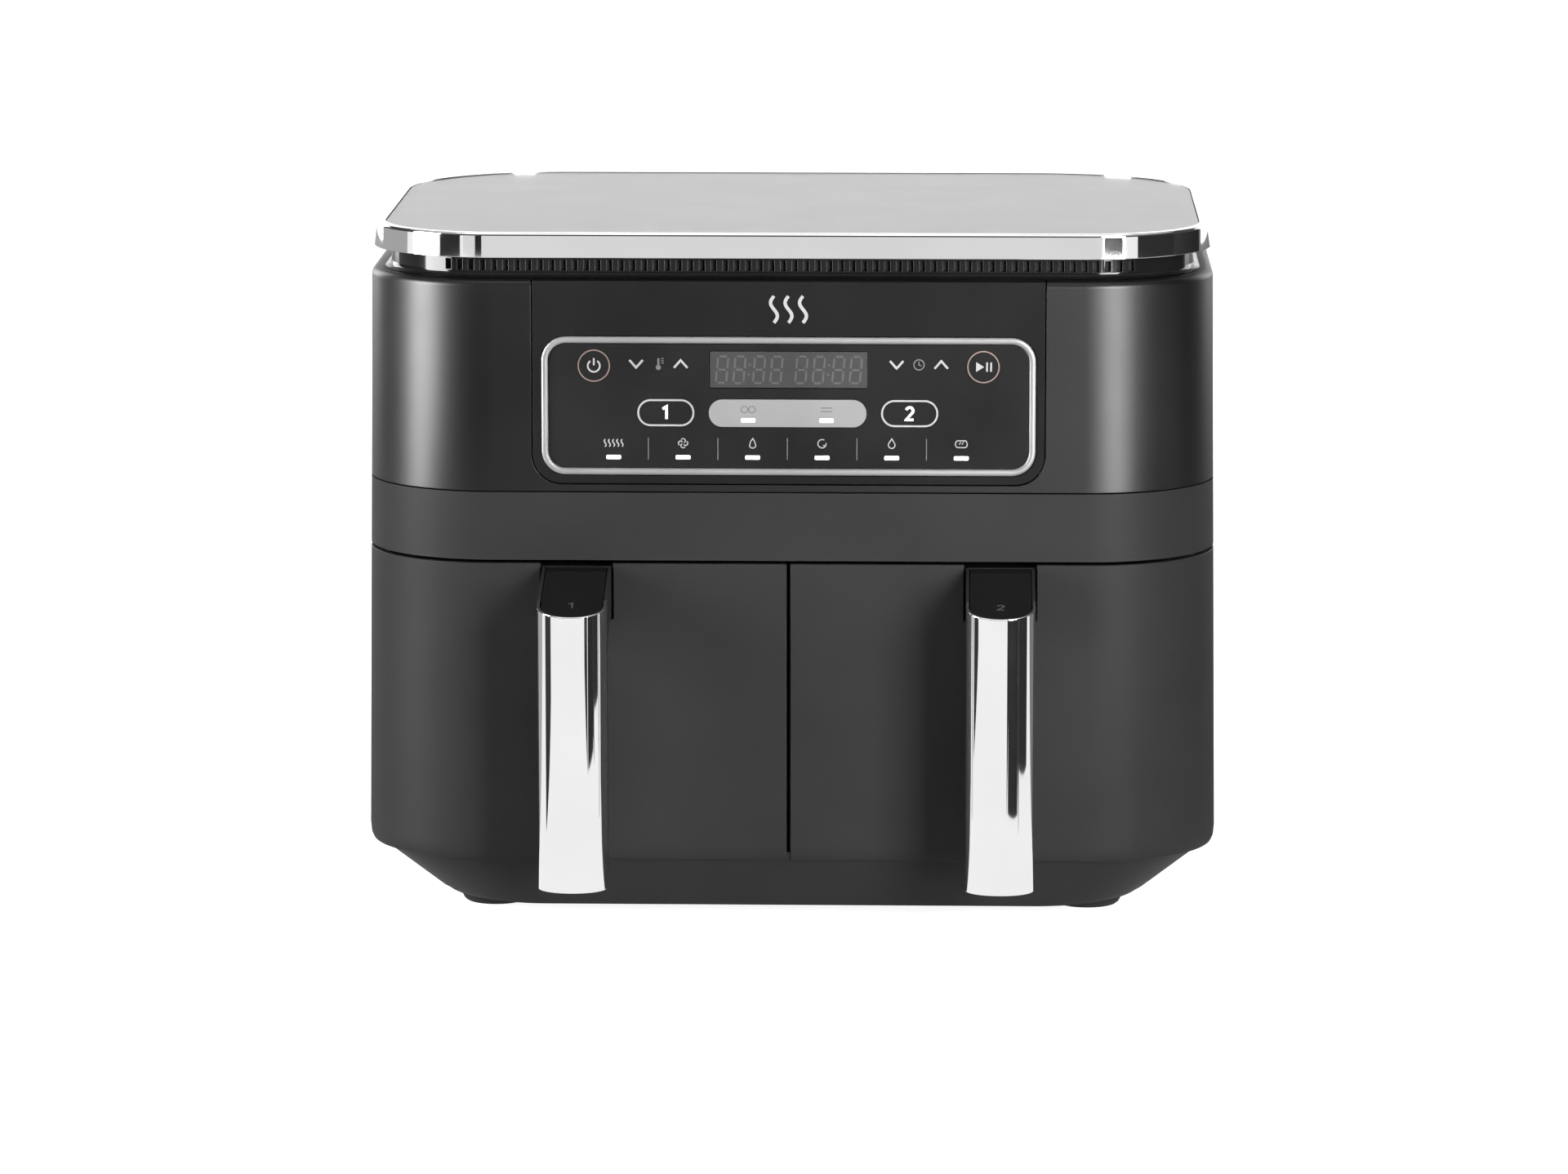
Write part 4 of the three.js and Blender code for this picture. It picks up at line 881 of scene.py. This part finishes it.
def above_neck(drop):
    """Everything above the neck's sloping top, lowered by a drop."""
    reach = 200
    tip_top = DRAWER_TOP - REVEAL - (FRONT - TIP) * math.tan(NECK_SLOPE) - drop
    along = Vector((math.cos(NECK_SLOPE), math.sin(NECK_SLOPE)))
    up = Vector((-along[1], along[0]))
    start = Vector((TIP, tip_top))
    corners = [start - along * reach, start + along * reach]
    corners += [corners[1] + up * reach, corners[0] + up * reach]
    return sideways([tuple(c) for c in corners], -40, 40)


def handle_profile():
    """The handle from the side: the grip hanging from the neck."""
    under = DRAWER_TOP - REVEAL - NECK_THICKNESS
    grip_back = TIP + GRIP_DEPTH
    bottom = trim_low[2] + 0.6
    inner = FRONT + FRONT_WALL + GAP + 0.6
    points = [(TIP, bottom), (grip_back, bottom), (grip_back, under), (inner, under)]
    points += [(inner, DRAWER_TOP - 1.5), (TIP, DRAWER_TOP - 1.5)]
    outline = rounded(points, [0, 5, NECK_BEND, 0, 0, 0], 12)
    return sideways(outline, -HANDLE_WIDTH / 2, HANDLE_WIDTH / 2)


def in_zone(obj):
    """Moves a handle piece from X 0 to the middle of its drawer."""
    obj.data.transform(Matrix.Translation((ZONE_X * MM, 0, 0)))
    return obj


def handle_trim():
    """The chrome front of the grip, open at the back, cut off along the neck's slope."""
    back = TIP + TRIM_DEPTH
    bottom = trim_low[2]
    trim = make("handle_chrome", upright(handle_outline(0, back), bottom, DRAWER_TOP))
    inside = handle_outline(TRIM_WALL, back + 5)
    trim = cut(trim, upright(inside, bottom - 1, DRAWER_TOP + 1))
    trim = cut(trim, above_neck(0))
    dress_pair(eased(in_zone(trim), 0.35), "bright_chrome", "drawer", "handle_trim")


def handle_cap():
    """The gloss cap on the neck; cap_numbers raises the zone's number on it."""
    cap = make("cap", upright(handle_outline(TRIM_WALL + GAP, FRONT - GAP), 100, DRAWER_TOP))
    cap = cut(cap, above_neck(CAP_SUNK))
    cap = keep(cap, above_neck(CAP_SUNK + CAP_THICKNESS))
    dress_pair(eased(in_zone(cap), 0.5), "gloss_black", "drawer", "handle_cap")


def handle_core():
    """Grip, neck and the tongue held by the drawer's screws, as one moulding."""
    behind_trim = TIP + TRIM_DEPTH + GAP
    inner = FRONT + FRONT_WALL + GAP
    full = make("grip", upright(handle_outline(0, inner + 1), 0, DRAWER_TOP))
    full = keep(full, slab(behind_trim, FAR))
    within = make("within", upright(handle_outline(TRIM_WALL + GAP, inner + 1), 0, DRAWER_TOP))
    core = combine(full, within, "UNION")
    core = keep(core, handle_profile())
    room = make("room", upright(handle_outline(TRIM_WALL, FRONT), 0, DRAWER_TOP + 1))
    room = keep(room, above_neck(CAP_SUNK + CAP_THICKNESS + GAP))
    core = combine(core, room)
    core = cut(core, above_neck(CAP_SUNK))
    half = HANDLE_WIDTH / 2 - 2
    top = DRAWER_TOP - 7.5
    tongue = Shape().box(-half, half, inner + 0.4, liner_high[1] - 2.3, top - 60, top)
    core = add(core, tongue)
    dress_pair(eased(in_zone(core), 0.6), "matte_graphite", "drawer", "handle_core")


# ------------------------------------------------------------------ printed and lit details

INK = 0.06  # how far print stands on its surface
SUNK = 0.01  # and how far it goes in
PANEL_FACE = panel_low[1]


def stroke(shape, points, width, front=PANEL_FACE, closed=False, thickness=INK):
    """A line of print through (x, z) points, standing on a face at a Y value."""
    path = [Vector(p) for p in points]
    rings = []
    for i, here in enumerate(path):
        before = path[i - 1] if i or closed else here
        after = path[(i + 1) % len(path)] if i < len(path) - 1 or closed else here
        first = (here - before).normalized() if here != before else (after - here).normalized()
        second = (after - here).normalized() if after != here else first
        along = (first + second).normalized()
        out = Vector((-along[1], along[0]))
        reach = width / 2 / max(0.5, out.dot(Vector((-second[1], second[0]))))
        left, right = here + out * reach, here - out * reach
        face, root = front - thickness, front + SUNK
        ring = ((left, face), (right, face), (right, root), (left, root))
        rings.append([(point[0], y, point[1]) for point, y in ring])
    shape.loft(rings, wrap=closed)


def dot(shape, outline, front=PANEL_FACE, thickness=INK):
    """A filled patch of print with the given (x, z) outline."""
    rings = [[(x, y, z) for x, z in outline] for y in (front - thickness, front + SUNK)]
    shape.loft(rings)


def curve(x, z, radius, start, end, steps=24):
    """Points along an arc, angles in degrees from the right, anticlockwise."""
    angles = [math.radians(start + (end - start) * i / steps) for i in range(steps + 1)]
    return [(x + radius * math.cos(a), z + radius * math.sin(a)) for a in angles]


def circle(x, z, radius, steps=48):
    return curve(x, z, radius, 0, 360, steps)[:-1]


def numeral(shape, digit, x, z, size, width, front=PANEL_FACE):
    """The numeral 1 or 2, centred on a point."""
    half = size / 2
    if digit == 1:
        flag = [(x - size * 0.26, z + half * 0.62), (x + size * 0.06, z + half)]
        stroke(shape, flag + [(x + size * 0.06, z - half)], width, front)
    else:
        radius = size * 0.27
        bowl = curve(x, z + half - radius, radius, 165, -35, 14)
        foot = [(x - size * 0.28, z - half), (x + size * 0.3, z - half)]
        stroke(shape, bowl + foot, width, front)


LEFT_PILL, RIGHT_PILL = -55.1, 54.4  # middles of the two zone keys
LEFT_ARROWS, RIGHT_ARROWS = -58.4, 58.5
LEFT_LAMP, RIGHT_LAMP = -18.1, 17.1  # on the key between them
KEY_HEIGHT = 0.08  # that key's, off the panel
KEY_ROW = 234.2
TOUCH_ROW = 255.4
TOUCH_X = 87.4
FUNCTION_PITCH = 31.25
FUNCTION_ROW = 220.4
LAMP_ROW = 214.0


def touch_keys():
    """Two round touch keys, each with a thin copper ring and a white symbol."""
    rings, symbols = Shape(), Shape()
    for x in (-TOUCH_X, TOUCH_X):
        stroke(rings, circle(x, TOUCH_ROW, 7.0), 0.55, closed=True)
    x = -TOUCH_X
    stroke(symbols, curve(x, TOUCH_ROW - 0.1, 2.7, 125, 415), 0.75)
    stroke(symbols, [(x, TOUCH_ROW + 0.2), (x, TOUCH_ROW + 3.4)], 0.75)
    x = TOUCH_X
    play = [(x - 3.3, TOUCH_ROW - 2.2), (x + 0.3, TOUCH_ROW), (x - 3.3, TOUCH_ROW + 2.2)]
    dot(symbols, play)
    for offset in (1.6, 3.4):
        bar = [(x + offset, TOUCH_ROW - 2.1), (x + offset, TOUCH_ROW + 2.1)]
        stroke(symbols, bar, 0.8)
    dress(make("touch_rings", rings), "print_copper", "housing")
    dress(make("touch_symbols", symbols), "print_white", "housing")


def arrow_keys():
    """Down and up arrows beside a thermometer and a clock."""
    arrows, marks = Shape(), Shape()
    z = TOUCH_ROW + 0.9
    for middle in (LEFT_ARROWS, RIGHT_ARROWS):
        for side, rise in ((-1, -1.7), (1, 1.7)):
            x = middle + side * 10
            ends = [(x - 3, z - rise), (x, z + rise), (x + 3, z - rise)]
            stroke(arrows, ends, 0.95)
    x = LEFT_ARROWS
    stroke(marks, [(x, z - 0.6), (x, z + 2.6)], 0.9)
    dot(marks, circle(x, z - 1.6, 1.15, 24))
    for i in range(3):
        tick = z + 0.4 + i
        stroke(marks, [(x + 1.2, tick), (x + 2.4, tick)], 0.4)
    x = RIGHT_ARROWS
    stroke(marks, circle(x, z, 2.3, 32), 0.5, closed=True)
    stroke(marks, [(x, z + 1.5), (x, z), (x + 1.1, z - 0.6)], 0.45)
    dress(make("arrows", arrows), "print_white", "housing")
    dress(make("setting_marks", marks), "print_grey", "housing")


def zone_keys():
    """Outlined keys 1 and 2, and the solid key between them with its two lamps."""
    outlines, numbers, solid, lamps, marks = Shape(), Shape(), Shape(), Shape(), Shape()
    for middle, digit in ((LEFT_PILL, 1), (RIGHT_PILL, 2)):
        key = rounded_rect(middle - 12.4, middle + 12.4, KEY_ROW - 5.7, KEY_ROW + 5.7, 5.6, 10)
        stroke(outlines, key, 0.8, closed=True)
        numeral(numbers, digit, middle, KEY_ROW, 5.6, 1.15)
    key = rounded_rect(-35.8, 35.0, KEY_ROW - 6.3, KEY_ROW + 6.1, 6.1, 12)
    dot(solid, key, thickness=KEY_HEIGHT)
    face = PANEL_FACE - KEY_HEIGHT
    for x in (LEFT_LAMP, RIGHT_LAMP):
        dot(lamps, rounded_rect(x - 3.2, x + 3.2, KEY_ROW - 4.3, KEY_ROW - 2.3, 0.5, 3), face)
    for side in (-1, 1):
        x = LEFT_LAMP + side * 1.7
        stroke(marks, circle(x, KEY_ROW + 1.6, 1.5, 24), 0.4, face, closed=True)
        z = KEY_ROW + 1.6 + side * 0.8
        bars = [(RIGHT_LAMP - 2.6, z), (RIGHT_LAMP + 2.6, z)]
        stroke(marks, bars, 0.45, face)
    dress(make("zone_outlines", outlines), "print_white", "housing")
    dress(make("zone_numbers", numbers), "lamp_white", "housing")
    dress(make("pair_key", solid), "pill_silver", "housing")
    dress(make("pair_lamps", lamps), "lamp_white", "housing")
    dress(make("pair_marks", marks), "print_grey", "housing")


def waves(shape, x, z, front=PANEL_FACE, count=3, height=3.4, width=0.5, pitch=1.9):
    """Upright wavy lines, for heat."""
    for i in range(count):
        middle = x + (i - (count - 1) / 2) * pitch
        points = []
        for k in range(13):
            share = k / 12
            sway = math.sin(share * 2 * math.pi) * height * 0.13
            points.append((middle + sway, z - height / 2 + share * height))
        stroke(shape, points, width, front)


def function_row():
    """Six functions, each a pictogram over a lamp, with thin lines between them."""
    marks, lamps, lines = Shape(), Shape(), Shape()
    xs = [(i - 2.5) * FUNCTION_PITCH - 0.5 for i in range(6)]
    z = FUNCTION_ROW
    for x in xs:
        lamp = rounded_rect(x - 3.3, x + 3.3, LAMP_ROW - 0.95, LAMP_ROW + 0.95, 0.5, 3)
        dot(lamps, lamp, thickness=0.1)
    for a, b in zip(xs, xs[1:]):
        x = (a + b) / 2
        stroke(lines, [(x, LAMP_ROW - 1), (x, FUNCTION_ROW + 2.4)], 0.4)
    waves(marks, xs[0], z, count=5)
    for i in range(4):
        start = 90 * i
        blade = curve(xs[1] + 1.1 * math.cos(math.radians(start)),
                      z + 1.1 * math.sin(math.radians(start)), 1.0, start + 60, start - 150, 10)
        stroke(marks, blade, 0.45)
    flame = curve(xs[2], z - 0.6, 1.5, 200, 340, 12)
    flame += [(xs[2] + 0.9, z + 0.9), (xs[2] + 0.1, z + 2.2), (xs[2] - 0.9, z + 0.9)]
    stroke(marks, flame, 0.45, closed=True)
    stroke(marks, curve(xs[3], z, 1.9, 60, 330, 20), 0.45)
    tip = (xs[3] + 1.65, z - 0.95)
    stroke(marks, [(tip[0] - 1.3, tip[1] + 0.2), tip, (tip[0] + 0.2, tip[1] + 1.3)], 0.45)
    drop = curve(xs[4], z - 0.5, 1.5, 150, 390, 16) + [(xs[4], z + 2.3)]
    stroke(marks, drop, 0.45, closed=True)
    loaf = rounded_rect(xs[5] - 2.6, xs[5] + 2.6, z - 1.5, z + 1.6, 1.2, 6)
    stroke(marks, loaf, 0.45, closed=True)
    for offset in (-1, 0.2):
        cutline = [(xs[5] + offset, z - 0.2), (xs[5] + offset + 0.8, z + 1.0)]
        stroke(marks, cutline, 0.35)
    dress(make("function_marks", marks), "print_white", "housing")
    dress(make("function_lamps", lamps), "lamp_white", "housing")
    dress(make("function_lines", lines), "print_grey", "housing")


def display_digits():
    """Two groups of four seven-segment digits, unlit, printed on the front of the lens."""
    digits = Shape()
    front = lens_low[1]
    middle = (lens_low[2] + lens_high[2]) / 2
    size, half_width, slant = 12.0, 2.3, 0.09
    for group in (-17.6, 18.0):
        for i in range(4):
            x = group + (i - 1.5) * 7.8 + (0.5 if i > 1 else -0.5)

            def at(a, b):
                return (x + a + slant * b, middle + b)

            for level in (-1, 0, 1):
                b = level * size / 2
                ends = [at(-half_width + 0.7, b), at(half_width - 0.7, b)]
                stroke(digits, ends, 0.95, front, thickness=0.04)
            for side in (-1, 1):
                for lower in (-1, 0):
                    b = lower * size / 2
                    a = side * half_width
                    ends = [at(a, b + 0.7), at(a, b + size / 2 - 0.7)]
                    stroke(digits, ends, 0.95, front, thickness=0.04)
        for b in (-2.2, 2.2):
            dot(digits, circle(group + slant * b, middle + b, 0.55, 16), front, 0.04)
    dress(make("display_digits", digits), "lit_segment", "housing")


def fascia_mark():
    """A generic sign for rising heat, over the controls."""
    mark = Shape()
    waves(mark, 0, (frame_high[2] + fascia_high[2]) / 2, FRONT, 3, 12, 1.5, 6.5)
    dress(make("heat_mark", mark), "print_white", "housing")


def cap_numbers():
    """The zone's number, raised on the sloping cap of each handle."""
    for side, digit in ((-1, 1), (1, 2)):
        number = Shape()
        numeral(number, digit, 0, 0, 5.2, 0.8, 0)
        slope = Matrix.Rotation(NECK_SLOPE - math.pi / 2, 4, "X")
        at = TIP + NOSE + 1
        rise = DRAWER_TOP - REVEAL - (FRONT - at) * math.tan(NECK_SLOPE) - CAP_SUNK
        moved = Matrix.Translation((side * ZONE_X, at, rise)) @ slope
        number.points = [tuple(moved @ Vector(p)) for p in number.points]
        name = "cap_number_" + ("left" if side < 0 else "right")
        body = ("left" if side < 0 else "right") + "_drawer"
        dress(make(name, number), "silicone", body)


# ------------------------------------------------------------------ CAD nodes that stay

KEPT = {
    "rear_vent": "matte_graphite",
    "control_board": "circuit_board",
    "power_board": "circuit_board",
    "cavity": "cavity_sheet",
    "heater": "heater_steel",
    "heater_guard": "steel_sheet",
    "motor": "steel_sheet",
    "motor_bracket": "steel_sheet",
    "motor_shaft": "steel_sheet",
    "convection_fan": "steel_sheet",
    "cooling_fan": "matte_graphite",
    "drawer_liner": "matte_graphite",
    "lower_handle_screw": "steel_sheet",
    "upper_handle_screw": "steel_sheet",
    "front_outer_pad": "silicone",
    "front_inner_pad": "silicone",
    "rear_outer_pad": "silicone",
    "rear_inner_pad": "silicone",
}


def dress_cad_nodes():
    """Finishes and softened edges for the CAD nodes that are shown as they are."""
    for name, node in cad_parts.items():
        kind = name.removeprefix("left_").removeprefix("right_")
        if kind not in KEPT:
            continue
        node.data.materials.clear()
        node.data.materials.append(MATERIALS[KEPT[kind]])
        weld = node.modifiers.new("weld", "WELD")
        weld.merge_threshold = 0.00001
        eased(node, 0.25, 2)


# ------------------------------------------------------------------ studio


def softbox(name, place, aim, size, power):
    data = bpy.data.lights.new(name, "AREA")
    data.shape = "RECTANGLE"
    data.size, data.size_y = size
    data.energy = power
    light = bpy.data.objects.new(name, data)
    scene.collection.objects.link(light)
    aimed(light, place, aim)
    light.visible_camera = False
    return light


def only_reflected(obj):
    """Makes a card or wall show in glossy surfaces and nowhere else."""
    obj.visible_camera = False
    obj.visible_diffuse = False
    obj.visible_transmission = False
    obj.visible_shadow = False


def standing_card(name, start, end, low, high, material):
    """An upright card over the line between two plan points, in millimetres."""
    along = (Vector(end) - Vector(start)).normalized()
    out = Vector((-along[1], along[0]))
    plan = [Vector(start) + out, Vector(end) + out, Vector(end) - out, Vector(start) - out]
    card = make(name, upright([tuple(p) for p in plan], low, high))
    card.data.materials.append(material)
    only_reflected(card)


def lying_card(name, x0, x1, y0, y1, material):
    card = make(name, Shape().box(x0, x1, y0, y1, 1, 3))
    card.data.materials.append(material)
    only_reflected(card)


def plain(name, colour, emission=0.0):
    material = bpy.data.materials.new(name)
    material.use_nodes = True
    shader = material.node_tree.nodes["Principled BSDF"]
    shader.inputs["Base Color"].default_value = (*([colour] * 3), 1)
    shader.inputs["Roughness"].default_value = 1
    shader.inputs["Specular IOR Level"].default_value = 0
    shader.inputs["Emission Color"].default_value = (1, 1, 1, 1)
    shader.inputs["Emission Strength"].default_value = emission
    return material


def wall_round(radius, height):
    """A round wall about the object."""
    rings = []
    for x, y in circle(0, 0, radius, 64):
        out = (x * 1.01, y * 1.01)
        rings.append([(x, y, 0), (x, y, height), (*out, height), (*out, 0)])
    return Shape().loft(rings, wrap=True)


def studio():
    """Soft lights, the floor and backdrop, and the cards that shape the reflections.

    The floor is hidden from reflections, where the floor cards stand in for it, and the lights
    and cards are placed for the front view.
    """
    world = bpy.data.worlds.new("studio")
    scene.world = world
    world.use_nodes = True
    world.node_tree.nodes["Background"].inputs["Color"].default_value = (1, 1, 1, 1)
    world.node_tree.nodes["Background"].inputs["Strength"].default_value = 0.55
    scene.view_settings.view_transform = "Standard"
    floor_radius = 60000
    floor = make("floor", upright(circle(0, 0, floor_radius, 64), -20, 0))
    floor.data.materials.append(plain("floor_white", 0.3, 0.88))
    floor.visible_glossy = False
    backdrop = make("backdrop", wall_round(floor_radius, floor_radius))
    backdrop.data.materials.append(plain("backdrop_white", 0, 1.1))
    backdrop.visible_diffuse = backdrop.visible_glossy = backdrop.visible_shadow = False

    black = plain("card_black", 0.01)
    room = make("dark_room", wall_round(4500, 4500))
    room.data.materials.append(plain("room_grey", 0.06))
    only_reflected(room)
    lying_card("front_floor_card", -6000, 6000, -6000, 0, plain("card_floor", 0, 0.96))
    lying_card("left_floor_card", -6000, -100, 0, 4000, plain("card_dim", 0, 0.4))
    lying_card("right_floor_card", -100, 6000, 0, 4000, plain("card_dark", 0, 0.2))
    standing_card("hood_card", (-350, -300), (105, -300), 150, 262, black)
    band_card = plain("card_grey", 0, 0.74)
    standing_card("band_card", (-1500, -2310), (1500, -2310), 1, 230, band_card)
    standing_card("lid_card", (-3000, 2500), (3000, 2500), 0, 1500, plain("card_pale", 0.4, 0.6))
    handle_cards = (
        ((180, -440), (306, -733), 200),
        ((300, -303), (420, -432), 200),
        ((-345, -185), (-615, -462), 200),
        ((198, -438), (322, -351), 125),
        ((417, -432), (520, -180), 150),
    )
    for letter, (start, end, top) in zip("abcde", handle_cards):
        standing_card("handle_card_" + letter, start, end, 0, top, black)
    band_cards = (
        ((-488, -601), (-647, -453)),
        ((-287, -688), (-350, -669)),
        ((329, -677), (506, -589)),
        ((620, -487), (777, -89)),
        ((777, -89), (648, 313)),
    )
    low, high = 230, 280  # heights that only the lid's band reflects from so near
    for letter, (start, end) in zip("abcde", band_cards):
        standing_card("band_card_" + letter, start, end, low, high, black)

    aim = (0, 0, 0.2)
    softbox("left_softbox", (-1.28, -0.5, 0.42), (-0.13, -0.1, 0.25), (0.6, 0.8), 60)
    softbox("right_softbox", (0.7, -1.17, 0.42), (0.13, -0.1, 0.25), (0.44, 0.8), 56)
    softbox("top_softbox", (0, -0.2, 2.6), aim, (2.0, 1.6), 20)
    softbox("rear_right_softbox", (1.2, 1.3, 0.6), aim, (0.6, 1.0), 5)
    softbox("rear_left_softbox", (-1.2, 1.3, 0.6), aim, (0.6, 1.0), 9)
    back = softbox("back_softbox", (0.2, 1.7, 0.9), (0, 0.15, 0.15), (1.4, 0.7), 30)
    back.visible_glossy = False


# ------------------------------------------------------------------ the whole scene

add_camera()
base_tray()
feet()
body_shell()
upper_shell()
control_fascia()
trim_frame()
control_panel()
vent_ring()
lid()
cord_gland()
drawer_front()
basket()
crisper_plate()
handle_trim()
handle_cap()
handle_core()
touch_keys()
arrow_keys()
zone_keys()
function_row()
display_digits()
fascia_mark()
cap_numbers()
dress_cad_nodes()
studio()
